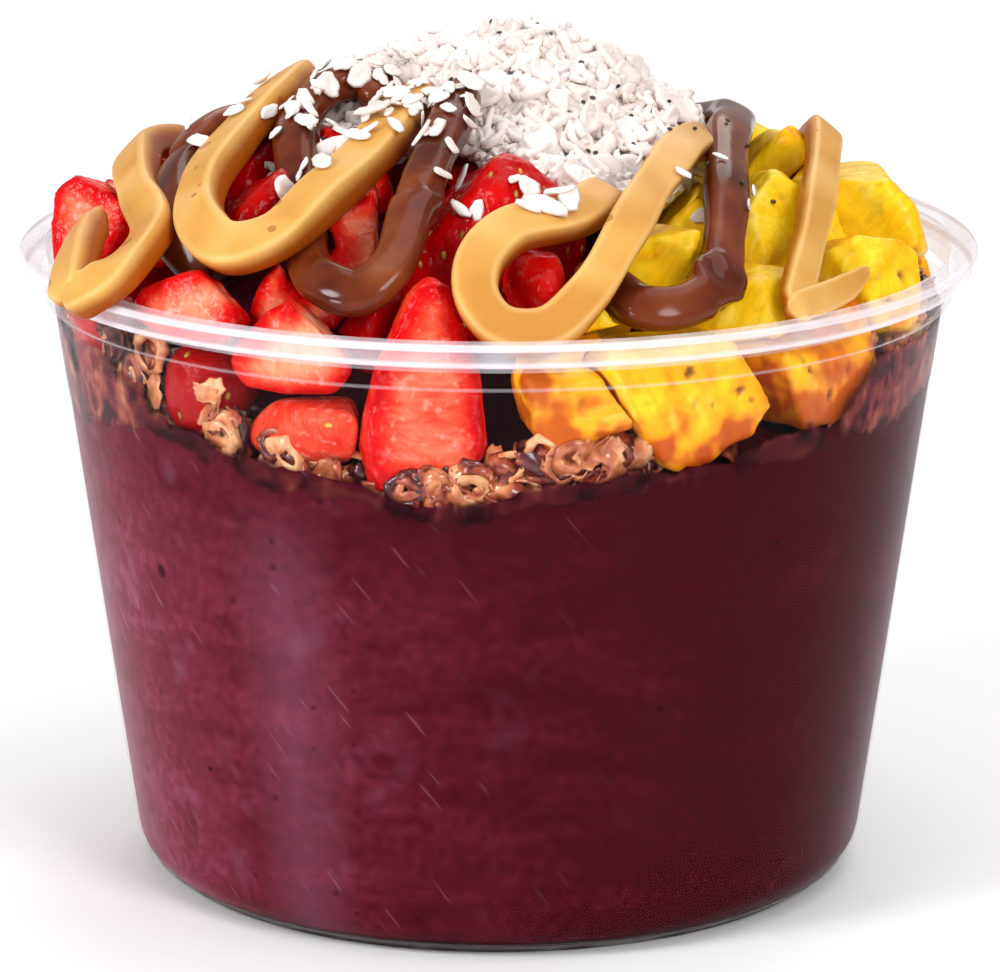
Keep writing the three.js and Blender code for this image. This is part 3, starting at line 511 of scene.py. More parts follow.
def frozen_puree(look):
    """Blended frozen acai: dense, frosted in broad upright bands where it froze to the wall, with
    dark bits of skin and short pale scratches of ice. The bands also carry painted light, lighter on
    the lit left side and darker on the shaded right, and one upright streak is a painted sheen."""
    material, node, coords = new_finish("frozen_acai_puree")
    # Folds from the blender lie nearly level, so patterns are drawn out sideways.
    folded = node("Mapping", Vector=coords, Rotation=(0.12, 0.3, 0), Scale=(1, 1, 3.2))[0]
    clouds = node("TexNoise", Vector=folded, Scale=46, Detail=3, Roughness=0.62, Distortion=0.9)[0]
    mottle = node("TexNoise", Vector=coords, Scale=650, Detail=2, Roughness=0.8)[0]
    place = node("SeparateXYZ", coords)
    front = node("Math:MULTIPLY", place[1], -1)[0]
    turn = node("Math:ARCTAN2", place[0], front)[0]
    share = node("MapRange", Value=turn, From_Min=-math.pi, From_Max=math.pi)[0]
    # Frost, and painted light: paler on the lit left side, darker on the shaded right.
    frost_and_painted_light = node("ValToRGB", share, stops=FROST_AND_PAINTED_LIGHT)[0]
    cloudy = node("Math:MULTIPLY_ADD", clouds, 0.85, -0.425)[0]
    cloudy = node("Math:MULTIPLY_ADD", mottle, 0.9, cloudy)[0]
    # Towards the top it is darker and patchier: thawed puree, and painted shade under the fruit.
    thaw_and_painted_shade = node("MapRange", Value=place[2], From_Min=0.042, From_Max=0.06, To_Max=0.24)[0]
    cloudy = node("Math:SUBTRACT", cloudy, thaw_and_painted_shade)[0]
    both = node("Math:ADD", frost_and_painted_light, cloudy)[0]
    both = node("Math:SUBTRACT", both, 0.5, use_clamp=True)[0]
    shown = node("ValToRGB", both, stops=[
        (0, look.dark), (0.22, look.middle), (0.5, "#5A1626"), (0.8, look.light), (1, "#80344C")
    ])[0]
    # Lavender patches of ice, a few millimetres wide, on the frosted side, so they follow its painted
    # light too.
    ice = node("TexNoise", Vector=coords, Scale=110, Detail=2, Roughness=0.75)[0]
    ice = node("ValToRGB", ice, stops=[(0.58, 0), (0.74, 0.24)])[0]
    # A painted sheen: one upright streak, 8 mm wide, painted paler than the rest and fading out towards
    # the top.
    painted_sheen = node("ValToRGB", share, stops=[(0.39, 0), (0.416, 0.17), (0.442, 0)])[0]
    painted_sheen_fade = node("MapRange", Value=place[2], From_Min=0.058, From_Max=0.046)[0]
    # Scratches of ice, 0.3 mm wide and up to 8 mm long, run down to the right.
    round_wall = node("Math:MULTIPLY", turn, 0.049)[0]
    unrolled = node("CombineXYZ", round_wall, place[2])[0]
    leaning = node("Mapping", Vector=unrolled, Rotation=(0, 0, math.radians(52)))[0]
    drawn = node("Mapping", Vector=leaning, Scale=(120, 1500, 1))[0]
    scratch = node("TexNoise", Vector=drawn, Scale=1, Detail=1, noise_dimensions="2D")[0]
    scratch = node("ValToRGB", scratch, stops=[(0.755, 0), (0.81, 0.28)])[0]
    # Ice, the painted sheen and the scratches are laid on in turn.
    for mark, strength, shade in (
        (ice, frost_and_painted_light, "#A0708E"), (painted_sheen, painted_sheen_fade, "#9C6C84"), (scratch, frost_and_painted_light, "#B98FA6")
    ):
        mark = node("Math:MULTIPLY", mark, strength)[0]
        shown = node("Mix", {0: mark, 6: shown, 7: shade}, data_type="RGBA")[2]
    # Dark bits of acai skin, 0.5 to 1.5 mm: (places per metre, bare share, size, strength).
    for shade, bits in (("#16040A", (150, 0.72, 0.12, 0.8)), ("#22060E", (420, 0.66, 0.2, 0.45))):
        speck = specks(node, coords, *bits)
        shown = node("Mix", {0: speck, 6: shown, 7: shade}, data_type="RGBA")[2]
    return surfaced(material, node, shown, 0.5, 0.02)


def thin_puree():
    """Melted acai and juice up the wall: a patchy purple-brown film, thinner towards the top."""
    material, node, coords = new_finish("melted_acai_film")
    depth = node("Attribute", attribute_name="depth")["Fac"]
    # Smears are 4 to 10 mm across, with finer torn edges, and have run down the wall.
    run = node("Mapping", Vector=coords, Scale=(1, 1, 0.7))[0]
    patchy = node("TexNoise", Vector=coords, Scale=70, Detail=1)[0]
    torn = node("TexNoise", Vector=coords, Scale=190, Detail=2, Roughness=0.65)[0]
    torn = node("Math:MULTIPLY", torn, 1.5)[0]
    cover = node("Math:MULTIPLY_ADD", depth, 0.7, torn)[0]
    cover = node("Math:MULTIPLY_ADD", patchy, 0.5, cover)[0]
    cover = node("Math:SUBTRACT", cover, 0.64)[0]
    cover = node("ValToRGB", cover, stops=[(0.6, 0), (0.86, 0.82)])[0]
    blend = node("TexNoise", Vector=run, Scale=260, Detail=2, Roughness=0.72)[0]
    shades = node("ValToRGB", blend, stops=[
        (0.38, "#3C0A18"), (0.48, "#6C2232"), (0.57, "#8C3E3C"), (0.67, "#B46C52"), (0.8, "#D69C80")
    ])[0]
    # It is painted brighter at the two sides of the bowl, where the film is thinner and the wall, seen
    # edge on, lays a painted veil over it.
    front = node("Attribute", attribute_name="front")["Fac"]
    shown = node("Mix", {0: front, 6: shades, 7: "#A0728E"}, data_type="RGBA", blend_type="MULTIPLY")[2]
    clear = node("BsdfTransparent", 1)[0]
    film = node("BsdfPrincipled", Base_Color=shown, Roughness=0.4, Specular_IOR_Level=0.05)[0]
    node("OutputMaterial", node("MixShader", cover, clear, film)[0])
    return material


def clear_polypropylene(name, tint, haze, edge, gloss):
    """Clear polypropylene, thermoformed: almost water clear, faintly milky, glossy, whiter where
    seen edge on."""
    material, node, coords = new_finish(name)
    # Draw marks down the wall, about 4 mm apart.
    drawn = node("Mapping", Vector=coords, Scale=(1, 1, 0.08))[0]
    marks = node("TexNoise", Vector=drawn, Scale=250, Detail=0)[0]
    facing = node("LayerWeight", 0.5)["Facing"]
    side = node("Math:POWER", facing, 6)[0]
    milk = node("MapRange", Value=marks, To_Min=haze * 0.4, To_Max=haze * 1.6)[0]
    milk = node("Math:MULTIPLY_ADD", side, edge, milk)[0]
    # Painted highlight: the plastic is painted milkier along its bends.
    bend = node("Attribute", attribute_name="bend")["Fac"]
    milk = node("Math:ADD", milk, bend, use_clamp=True)[0]
    clear = node("BsdfTransparent", 1)[0]
    cloud = node("BsdfPrincipled", Base_Color=tint, Roughness=0.4, Specular_IOR_Level=0.2)[0]
    body = node("MixShader", milk, clear, cloud)[0]
    sharp = node("BsdfGlossy", Color=1, Roughness=0.1)[0]
    mirror = node("Math:MULTIPLY_ADD", side, 0.15, gloss)[0]
    node("OutputMaterial", node("MixShader", mirror, body, sharp)[0])
    return material


def nut_butter(look):
    """Peanut butter, piped: smooth, oily satin tan with a few dark skin flecks and pin holes."""
    material, node, coords = new_finish("peanut_butter")
    soft = node("TexNoise", Vector=coords, Scale=90, Detail=2)[0]
    shades = node("ValToRGB", soft, stops=[(0.32, "#C4863A"), (0.5, look.peanut), (0.7, "#DEAC64")])[0]
    # Painted light: the flat top is painted paler than the sides, which are painted in shade, and
    # palest along its two edges as a painted highlight.
    crest = node("Attribute", attribute_name="crest")["Fac"]
    side = node("ValToRGB", crest, stops=[(0, "#C0802E"), (0.5, 1)])[0]
    lit = node("Mix", {0: 1, 6: shades, 7: side}, data_type="RGBA", blend_type="MULTIPLY")[2]
    crest = node("MapRange", Value=crest, From_Min=0.6, To_Max=0.4)[0]
    lit = node("Mix", {0: crest, 6: lit, 7: "#ECC07C"}, data_type="RGBA")[2]
    fleck_and_glint = specks(node, coords, 230, 0.6, 0.24, 0.6)
    shown = node("Mix", {0: fleck_and_glint, 6: lit, 7: "#8A4A1E"}, data_type="RGBA")[2]
    bump = fine_bump(node, coords, 700, 0.12)
    return surfaced(material, node, shown, 0.36, 0.2, Normal=bump)


def cocoa_spread(look):
    """Milk chocolate spread, piped: dense glossy brown, lighter where it has begun to set, and painted
    lighter along the top's two edges as a highlight.
    """
    material, node, coords = new_finish("chocolate_spread")
    soft = node("TexNoise", Vector=coords, Scale=110, Detail=3)[0]
    stops = [(0.34, "#4C1C0B"), (0.52, look.chocolate), (0.72, "#804020")]
    shades = node("ValToRGB", soft, stops=stops)[0]
    # Painted highlight: lighter brown along the top's two edges.
    crest = node("Attribute", attribute_name="crest")["Fac"]
    crest = node("ValToRGB", crest, stops=[(0.5, 0), (1, 1)])[0]
    shown = node("Mix", {0: crest, 6: shades, 7: "#8E4622"}, data_type="RGBA")[2]
    rough = node("MapRange", Value=soft, To_Min=0.05, To_Max=0.28)[0]
    bump = fine_bump(node, coords, 420, 0.12)
    return surfaced(material, node, shown, rough, 0.26, Normal=bump)


def coconut_flesh(look):
    """Shredded coconut: soft, matt and milky white."""
    stops = [(0.32, "#E4D7D0"), (0.5, look.flesh), (0.74, "#F8F4F1")]
    return mottled("shredded_coconut", 140, 1, 0.6, 0.2, stops)


def damp_granola(look):
    """Toasted oat and coconut chips, damp: leathery, tan to dark brown, shiny where syrup sits."""
    material, node, coords = new_finish("damp_granola")
    tone = node("Attribute", attribute_name="tone")["Fac"]
    soft = node("TexNoise", Vector=coords, Scale=380, Detail=2, Roughness=0.65)[0]
    soft = node("Math:MULTIPLY_ADD", soft, 1.1, -0.4)[0]
    both = node("Math:MULTIPLY_ADD", tone, 0.72, soft)[0]
    shades = node("ValToRGB", both, stops=[
        (0.12, "#380C12"), (0.32, look.dark), (0.48, "#A0462E"), (0.72, look.light), (0.95, "#EAB080")
    ])[0]
    bump = fine_bump(node, coords, 800, 0.3)
    return surfaced(material, node, shades, 0.2, 0.6, Normal=bump)


def chia_seed():
    """Chia seed: a smooth hard coat, mottled grey and near black."""
    return mottled("chia_seed", 900, 2, 0.35, 0.5, [(0.4, "#120D0B"), (0.7, "#55473E")])


def plain_paper(look):
    """Pale seamless paper."""
    material, node, _ = new_finish("seamless_paper")
    return surfaced(material, node, look.floor, 0.9, 0.5)


# ---------------------------------------------------------------- settings


def colour(name, code, description):
    """A colour that a user may change."""
    return FloatVectorProperty(
        name=name, description=description, subtype="COLOR", size=3, min=0, max=1, default=linear(code)
    )


def distance(name, low, high, default, description):
    """A length in metres that a user may change."""
    return FloatProperty(
        name=name, description=description, subtype="DISTANCE", unit="LENGTH",
        min=low, max=high, default=default,
    )


def number(name, low, high, default, description):
    """A whole number that a user may change."""
    return IntProperty(name=name, description=description, min=low, max=high, default=default)


def factor(name, default, description):
    """A share that a user may change."""
    return FloatProperty(
        name=name, description=description, subtype="FACTOR", min=0, max=1, default=default
    )


class BowlCup(PropertyGroup):
    plastic: colour("Plastic", "#F1EAF1", "Tint of the milky haze in the plastic")
    haze: factor("Haze", 0.001, "How milky the wall is")
    rim_haze: factor("Rim haze", 0.2, "How milky the rim is")
    sides: number("Sides", 24, 360, 160, "Steps round the cup")


class BowlPuree(PropertyGroup):
    # Dark is thawed puree, and also painted shade on the top and the right side; light is frosty puree,
    # and also painted light on the left side.
    dark: colour("Dark", "#3C0611", "Thawed puree")
    middle: colour("Middle", "#490C1B", "Most of the puree")
    light: colour("Light", "#702238", "Frosty puree")
    bite: distance("Bite", 0, 0.0008, 0.0007, "How far the puree reaches into the cup's wall")


class BowlStrawberries(PropertyGroup):
    skin: colour("Skin", "#B80207", "Ripe skin")
    flesh: colour("Flesh", "#F8B088", "Palest flesh, at the core")
    seed: colour("Seed", "#BE8A2C", "Seeds in the skin")
    net: distance("Net", 0.0002, 0.002, 0.00045, "Size of the squares in a berry's surface")


class BowlPineapple(PropertyGroup):
    flesh: colour("Flesh", "#FFD41C", "Most of the flesh")
    stain: colour("Stain", "#A02808", "Where berry juice soaked in")
    net: distance("Net", 0.0002, 0.002, 0.0005, "Size of the squares in a chunk's surface")


class BowlRibbons(PropertyGroup):
    peanut: colour("Peanut butter", "#D49A4A", "Most of the peanut butter")
    chocolate: colour("Chocolate", "#682B12", "Most of the chocolate spread")
    step: distance("Step", 0.0003, 0.005, 0.0009, "Distance between two sections of a ribbon")


class BowlCoconut(PropertyGroup):
    flesh: colour("Flesh", "#F0E6E1", "Most of the coconut")
    shreds: number("Shreds", 0, 4000, 3400, "Shreds on the heap")
    length: distance("Length", 0.001, 0.02, 0.003, "Length of a shred")


class BowlGranola(PropertyGroup):
    dark: colour("Dark", "#5E1C1A", "Soaked chips")
    light: colour("Light", "#CC7C50", "Toasted chips")
    chips: number("Chips", 0, 2000, 850, "Chips along the wall")
    length: distance("Length", 0.001, 0.02, 0.0052, "Length of a chip")


class BowlStage(PropertyGroup):
    floor: colour("Floor", "#FEFEFE", "Paper under the bowl")
    light: FloatProperty(
        name="Light", description="Power of the main lamp in watts", subtype="POWER", min=0, default=5.5
    )
    sky: FloatProperty(
        name="Sky", description="Strength of the light from all round", min=0, default=0.38
    )


SETTINGS = {
    "bowl_cup": BowlCup,
    "bowl_puree": BowlPuree,
    "bowl_strawberries": BowlStrawberries,
    "bowl_pineapple": BowlPineapple,
    "bowl_ribbons": BowlRibbons,
    "bowl_coconut": BowlCoconut,
    "bowl_granola": BowlGranola,
    "bowl_stage": BowlStage,
}


# ---------------------------------------------------------------- cup and acai

RIM_FINISH, FOOT_SHADE_FINISH = 1, 2


def arc(centre, radius, start, end, count):
    """Points on an arc, in degrees."""
    turns = [math.radians(start + (end - start) * i / (count - 1)) for i in range(count)]
    return [(centre[0] + radius * math.cos(t), centre[1] + radius * math.sin(t)) for t in turns]


class BOWL_OT_cup(Operator):
    """Adds the clear cup: a foot ring, rounded corner, sloping wall, stacking step and beaded rim"""

    bl_idname = "bowl.cup"
    bl_label = "Cup"

    def execute(self, context):
        look = context.scene.bowl_cup
        # Foot ring, corner, wall, stacking step, lip and bead, from the middle outwards.
        outside = [(0, 1.2), (20, 1.2), (37.4, 1.2), (38.2, 0.3), (38.9, 0), (40.6, 0)]
        outside += arc(CORNER, CORNER_RADIUS, -72, -8, 9)
        outside += [(50.4, 43), (54.1, 69.6), (54.3, 70.6)]
        outside += arc((54.6, 71.2), 0.55, 170, 120, 3) + arc((55.0, 72.4), 0.5, -60, 0, 3)
        outside += [(55.6, 74.6), (55.8, 75.1)]
        outside += arc((57.3, 75.6), 0.55, -110, 0, 6)
        outside += [(57.85, 76.0), (57.85, 76.6), (57.85, 76.95)]
        outside += arc((57.9, 77.4), 0.6, -30, 110, 9)
        rim = [(57.2, 77.75), (56.4, 77.4), (55.9, 77.35)] + arc((55.5, 77.3), 0.55, 60, 180, 5)
        inside = [(54.9, 74), (54.75, 72.2), (54.1, 71.4), (53.5, 70.6), (49.4, 43)]
        inside += arc(CORNER, CORNER_RADIUS - WALL, -8, -72, 9)
        inside += [(36.8, 2.15), (20, 2.15), (0, 2.15)]
        bm = spun(outside + rim + inside, look.sides)
        # Painted highlight: how white the bead, the lip and the stacking step are painted.
        painted_bend_highlights = []
        for vert in bm.verts:
            z, radius = vert.co.z / MM, math.hypot(vert.co.x, vert.co.y) / MM
            bead = 0.46 * (77.2 < z < 77.95 and radius > 58)
            lip = 0.4 * (z < 75.9 and radius > 57.5)
            step = 0.2 * (71.1 < z < 72.2 and radius > 54.2)
            painted_bend_highlights.append(max(bead, lip, step))
        paint(bm, "bend", painted_bend_highlights)
        for face in bm.faces:
            height = face.calc_center_median().z / MM
            face.material_index = RIM_FINISH if height > 75 else FOOT_SHADE_FINISH if height < 1.7 else 0
        wall = clear_polypropylene("clear_polypropylene_wall", look.plastic, look.haze, 0.26, 0.0015)
        lip = clear_polypropylene("clear_polypropylene_rim", look.plastic, look.rim_haze, 0.3, 0.03)
        # Painted shade: the foot is painted dark maroon and milky, for the shadow under the cup and the
        # dark puree above it.
        foot = clear_polypropylene("clear_polypropylene_foot", "#2C0D15", 0.7, 0.2, 0.02)
        finished(new_object("clear_cup", bm, wall, lip, foot), "cup", "cup")
        return {"FINISHED"}


class BOWL_OT_puree(Operator):
    """Adds the frozen acai, up to its wavy level, its side just inside the cup's wall"""

    bl_idname = "bowl.puree"
    bl_label = "Acai puree"

    def execute(self, context):
        look = context.scene.bowl_puree
        floor, foot, bite = 1.8, 5.46, look.bite / MM
        outline = [(0, floor), (18, floor), (36.6, floor)]
        outline += arc(CORNER, CORNER_RADIUS - WALL + bite, -72, -8, 7)
        outline += [(inner_radius(z) + bite, z) for z in (8, *range(11, ACAI_BRIM, 3), ACAI_BRIM)]
        edge = inner_radius(ACAI_BRIM) + bite
        shares = (0.985, 0.96, 0.93, 0.88, 0.8, 0.7, 0.55, 0.4, 0.2, 0)
        bm = spun(outline + [(edge * share, ACAI_BRIM) for share in shares], 260)
        for vert in bm.verts:
            x, y, z = vert.co / MM
            radius = math.hypot(x, y)
            azimuth = math.degrees(math.atan2(y, x))
            ripple = 1.5 * noise.noise(Vector((x, y, 0)) * 0.18)
            ripple += 1.2 * noise.noise(Vector((x, y, 9)) * 0.42)
            level = acai_level(azimuth) + ripple * smoothstep(z, ACAI_BRIM - 22, ACAI_BRIM)
            if z > foot + 0.1 and radius > inner_radius(z):
                z = foot + (level - foot) * (z - foot) / (ACAI_BRIM - foot)
                radius = inner_radius(z) + bite
            elif z > ACAI_BRIM - 0.01:
                share = radius / edge
                rise = 1 - smoothstep(share, 0.3, 0.85)
                lumps = 5.6 * noise.noise(vert.co * 260) * (1 - share) * share
                radius = share * inner_radius(level)
                z = level + (ACAI_MOUND - level) * rise + lumps - 0.5 * (share < 0.98)
            vert.co = polar(azimuth, radius, z)
        bmesh.ops.recalc_face_normals(bm, faces=bm.faces)
        finished(new_object("acai_puree", bm, frozen_puree(look)), "acai", "acai")
        return {"FINISHED"}


class BOWL_OT_smears(Operator):
    """Adds the film of melted acai on the wall above the puree"""

    bl_idname = "bowl.smears"
    bl_label = "Smears"

    def execute(self, context):
        bite = context.scene.bowl_puree.bite / MM
        low, high, count, highest = -3.5, 13, 20, 70.4
        heights = [low + (high - low) * i / count for i in range(count + 1)]
        bm = spun([(50, ACAI_BRIM + height) for height in heights], 220)
        depths, fronts = [], []
        for vert in bm.verts:
            azimuth = math.degrees(math.atan2(vert.co.y, vert.co.x))
            level = acai_level(azimuth)
            z = min(highest, level + vert.co.z / MM - ACAI_BRIM)
            # The film reaches higher at the two sides of the bowl than at its front and back.
            side = smoothstep(abs(math.cos(math.radians(azimuth))), 0.7, 0.9)
            fronts.append(1 - side)
            tall = 3 + (13 if vert.co.x > 0 else 9) * side
            above = 1 - smoothstep(z - level, -1, tall) * (1.3 - 0.6 * side)
            depths.append(above * smoothstep(z - level, low, 0.6))
            vert.co = polar(azimuth, inner_radius(z) + bite + 0.14, z)
        paint(bm, "depth", depths)
        paint(bm, "front", fronts)
        # Where the film is too thin to show there is none.
        depth = bm.verts.layers.float["depth"]
        bare = [f for f in bm.faces if all(v[depth] < 0.02 for v in f.verts)]
        bmesh.ops.delete(bm, geom=bare, context="FACES")
        bmesh.ops.recalc_face_normals(bm, faces=bm.faces)
        bmesh.ops.solidify(bm, geom=bm.faces[:], thickness=0.08 * MM)
        finished(new_object("acai_smears", bm, thin_puree()), "acai")
        return {"FINISHED"}


# ---------------------------------------------------------------- ribbons

# Width and height of a ribbon's section, and how square it is: 1 is an oval, 0 a box.
SECTIONS = {"peanut": (6.1, 4.6, 0.34), "chocolate": (5.5, 4.3, 0.7)}
# Folds and broken ends, where the spread piled up: place and radius in millimetres.
FOLDS = [
    ((-9.4, -31, 89.8), 2.6), ((24.6, -38.6, 80.8), 4.5), ((-48.4, -38, 79), 2.5),
    ((34, -37.4, 77.6), 2.5),
]

# Each ribbon: its kind and its strokes, each with the section's share at both tips, its share from
# start to end, and its route in millimetres, as in the CAD source.
RIBBONS = {
    "peanut_butter_left": ("peanut", [
        ((0.35, 0.85), (0.8, 0.95), [
            (-47.4, -17, 85), (-48.6, -23, 83.3), (-49.3, -29, 81.9), (-49.9, -37, 78.6),
        ]),
        ((0.85, 0.9), (0.86, 1), [
            (-50.6, -37, 78), (-45.1, -36.5, 80.8), (-41.8, -31, 83), (-40.5, -24, 84.6),
            (-42.6, -15, 86.4), (-43.7, -5, 87.8), (-43.5, 4, 88), (-41, 14, 86.4),
            (-37, 23, 84.4), (-31.4, 28, 84), (-26, 25.6, 86.2), (-24.3, 18, 91),
            (-24.8, 11, 95.4), (-27, 2, 95), (-31.4, -9, 92.2), (-34.7, -19, 88.8),
            (-34.8, -28, 86), (-31.1, -34.5, 84), (-26, -34.6, 85.4), (-20, -28, 89.4),
            (-15.4, -21, 92.4), (-11.6, -12, 95.4), (-9.2, -5, 97),
        ]),
    ]),
    "peanut_butter_right": ("peanut", [
        ((0.8, 0.85), (0.92, 0.64), [
            (12.9, -27, 89.4), (8.6, -35.2, 88), (1.4, -38.8, 87), (-2.2, -43, 84),
            (-2.4, -46.8, 80.6), (0.5, -49.4, 77.8), (5.6, -49.4, 77.6), (10.2, -46.6, 81.2),
            (14.2, -40.6, 86.5), (18.2, -29, 90.6), (22.2, -15, 92.4), (25, -4, 90.6),
            (26.8, 8, 86.6), (28.8, 17.4, 84.6), (33.4, 21.8, 83.8), (37.6, 17.6, 85),
            (38.8, 9, 88.8), (39.4, 1, 90.6), (38.6, -11, 88), (36.8, -24, 83.8), (34.2, -37, 77.9),
        ]),
        ((0.9, 0.4), (0.66, 0.5), [
            (33.6, -37.4, 77.5), (37.4, -33.4, 77.7), (40.4, -29.6, 78.2), (43.8, -24.4, 79.6),
        ]),
    ]),
    "chocolate_left": ("chocolate", [
        ((0.9, 0.6), (1, 1), [(-28.6, 7, 91), (-34.4, -1.6, 92), (-38.7, -9.6, 89.8)]),
        ((0.7, 0.9), (1, 1), [
            (-34.6, -4, 90.6), (-38.2, -12, 88.6), (-38.6, -19, 86.4), (-37.3, -26, 82.6),
            (-34.2, -29.5, 79.4),
        ]),
    ]),
    "chocolate_middle": ("chocolate", [
        ((0.85, 0.5), (1, 1), [
            (-13.8, -3, 95.2), (-15.8, 1.5, 97), (-20, 1, 96.8), (-23.6, -5, 94.2),
            (-24.1, -13, 91.4), (-23.1, -22, 86.6), (-22.3, -32, 82.6), (-20.4, -39.4, 81.2),
            (-16.2, -42.2, 80.4), (-12.4, -40.4, 83), (-10, -33, 88.4), (-7.6, -24, 92.8),
            (-5.3, -15, 96), (-3.9, -6, 98.8),
        ]),
    ]),
    "chocolate_right": ("chocolate", [
        ((0.8, 0.9), (1, 1), [
            (8.6, 20, 91), (12, 29, 87.6), (17.8, 32.4, 86.6), (24, 28, 87),
            (28.2, 18, 89.4), (28.9, 8, 91), (27.6, -5, 91.4), (27.1, -17, 89.2),
            (26.4, -30, 84.8), (25, -38, 80.8), (21.4, -43.4, 79.2), (17, -44.6, 79.2),
            (13.6, -40.4, 80.2), (9.7, -36, 82.4),
        ]),
    ]),
    "chocolate_back": ("chocolate", [
        ((0.8, 0.8), (1, 1), [
            (-3.4, 18, 94), (-2.8, 27, 90.2), (-6, 34, 86.2), (-12, 35.4, 85.4),
            (-15.6, 30, 87.4), (-15.4, 20, 92.6),
        ]),
    ]),
}


def nearness(point, spots):
    """How near a point is to the nearest of these spots: 1 at its middle, 0 at its edge."""
    near = 0
    for centre, radius in spots:
        near = max(near, 1 - (point - Vector(centre) * MM).length / (radius * MM))
    return near


def eased_route(points, step):
    """Points at even steps on the smooth curve through the route's points, and its length."""
    nodes = [Vector(p) * MM for p in points]
    nodes = [2 * nodes[0] - nodes[1], *nodes, 2 * nodes[-1] - nodes[-2]]
    fine = []
    for a, b, c, d in zip(nodes, nodes[1:], nodes[2:], nodes[3:]):
        before, here, after = ((q - p).length ** 0.5 for p, q in ((a, b), (b, c), (c, d)))
        leave = ((b - a) / before - (c - a) / (before + here) + (c - b) / here) * here
        arrive = ((c - b) / here - (d - b) / (here + after) + (d - c) / after) * here
        for t in (i / 30 for i in range(30)):
            s, u = t * t, t * t * t
            start = b * (2 * u - 3 * s + 1) + leave * (u - 2 * s + t)
            fine.append(start + c * (3 * s - 2 * u) + arrive * (u - s))
    fine.append(nodes[-2])
    along = [0]
    for p, q in zip(fine, fine[1:]):
        along.append(along[-1] + (q - p).length)
    count = max(4, round(along[-1] / step))
    route, at = [], 0
    for i in range(count + 1):
        want = along[-1] * i / count
        while at < len(along) - 2 and along[at + 1] < want:
            at += 1
        share = (want - along[at]) / (along[at + 1] - along[at])
        route.append(fine[at].lerp(fine[at + 1], share))
    return route, along[-1]


def section_points(width, height, square):
    """Corners of a ribbon's section in metres: flat on top, narrower below."""
    points = []
    for i in range(24):
        turn = 2 * math.pi * i / 24
        c, s = math.cos(turn), math.sin(turn)
        x = math.copysign(abs(c) ** square, c) * width / 2
        y = math.copysign(abs(s) ** square, s) * height / 2
        if y < 0:
            x *= 1 + 0.16 * y / (height / 2)
        points.append(Vector((x, y, 0)) * MM)
    return points


def sweep(bm, kind, points, ends, broad, step, crest, seed):
    """Extrudes a ribbon's section along its route."""
    route, length = eased_route(points, step)
    section = section_points(*SECTIONS[kind])
    width = SECTIONS[kind][0] * MM
    last = len(route) - 1
    first = None
    for i, at in enumerate(route):
        ahead = (route[min(i + 1, last)] - route[max(i - 1, 0)]).normalized()
        up = at - PILE_CENTRE
        up = (up - ahead * up.dot(ahead)).normalized()
        side = up.cross(ahead)
        along = length * i / last
        start = ends[0] + (1 - ends[0]) * min(1, along / width)
        end = ends[1] + (1 - ends[1]) * min(1, (length - along) / width)
        tip = min(1, min(along, length - along) / (1.6 * MM) + 0.05)
        size = start * end * (1 + 0.05 * math.sin(along * 350)) * math.sqrt(1 - (1 - tip) ** 2)
        size *= broad[0] + (broad[1] - broad[0]) * i / last
        size *= 1 + 0.05 * noise.noise(at * 130 + Vector((seed, 0, 0)))
        lean = 0.16 * noise.noise(at * 70 + Vector((0, seed, 0)))
        across = side * math.cos(lean) + up * math.sin(lean)
        above = up * math.cos(lean) - side * math.sin(lean)
        places = [at + (across * p.x + above * p.y) * size for p in section]
        if first is None:
            ring = [bm.verts.new(place) for place in places]
            first = made = [bm.edges.new(pair) for pair in zip(ring, ring[1:] + ring[:1])]
        else:
            grown = bmesh.ops.extrude_edge_only(bm, edges=made)["geom"]
            ring = [g for g in grown if isinstance(g, bmesh.types.BMVert)]
            edges = [g for g in grown if isinstance(g, bmesh.types.BMEdge)]
            made = [edge for edge in edges if all(v in ring for v in edge.verts)]
            for vert, place in zip(ring, places):
                vert.co = place
        # Folds are crumpled. The painted light is 1 along the top's edges, a painted highlight, 0.5 on
        # top, and less down the sides, which are painted in shade.
        fold = nearness(at, FOLDS)
        for vert, p in zip(ring, section):
            if fold:
                vert.co += (vert.co - at) * fold * (0.1 + 0.8 * noise.noise(vert.co * 520))
            edge = smoothstep(p.y / MM, 1.5, 2.1) * smoothstep(abs(p.x) / MM, 1.8, 2.5)
            vert[crest] = 0.5 + 0.5 * edge if edge else 0.5 * smoothstep(p.y / MM, -0.4, 1.9)
    for edges in (first, made):
        bmesh.ops.contextual_create(bm, geom=edges)


class BOWL_OT_ribbons(Operator):
    """Adds the squeezed ribbons of peanut butter and chocolate"""

    bl_idname = "bowl.ribbons"
    bl_label = "Ribbons"

    def execute(self, context):
        look = context.scene.bowl_ribbons
        finishes = {"peanut": nut_butter(look), "chocolate": cocoa_spread(look)}
        slots = {"peanut": "peanut_butter", "chocolate": "chocolate"}
        for seed, (name, (kind, strokes)) in enumerate(RIBBONS.items()):
            bm = bmesh.new()
            # Painted light on each ribbon: its top, its shaded sides and its highlighted edges.
            crest = bm.verts.layers.float.new("crest")
            for ends, broad, points in strokes:
                sweep(bm, kind, points, ends, broad, look.step, crest, seed)
            bmesh.ops.recalc_face_normals(bm, faces=bm.faces)
            obj = finished(new_object(f"{name}_ribbon", bm, finishes[kind]), slots[kind], name)
            rounding = obj.modifiers.new("round", "SUBSURF")
            rounding.levels = rounding.render_levels = 1
        return {"FINISHED"}
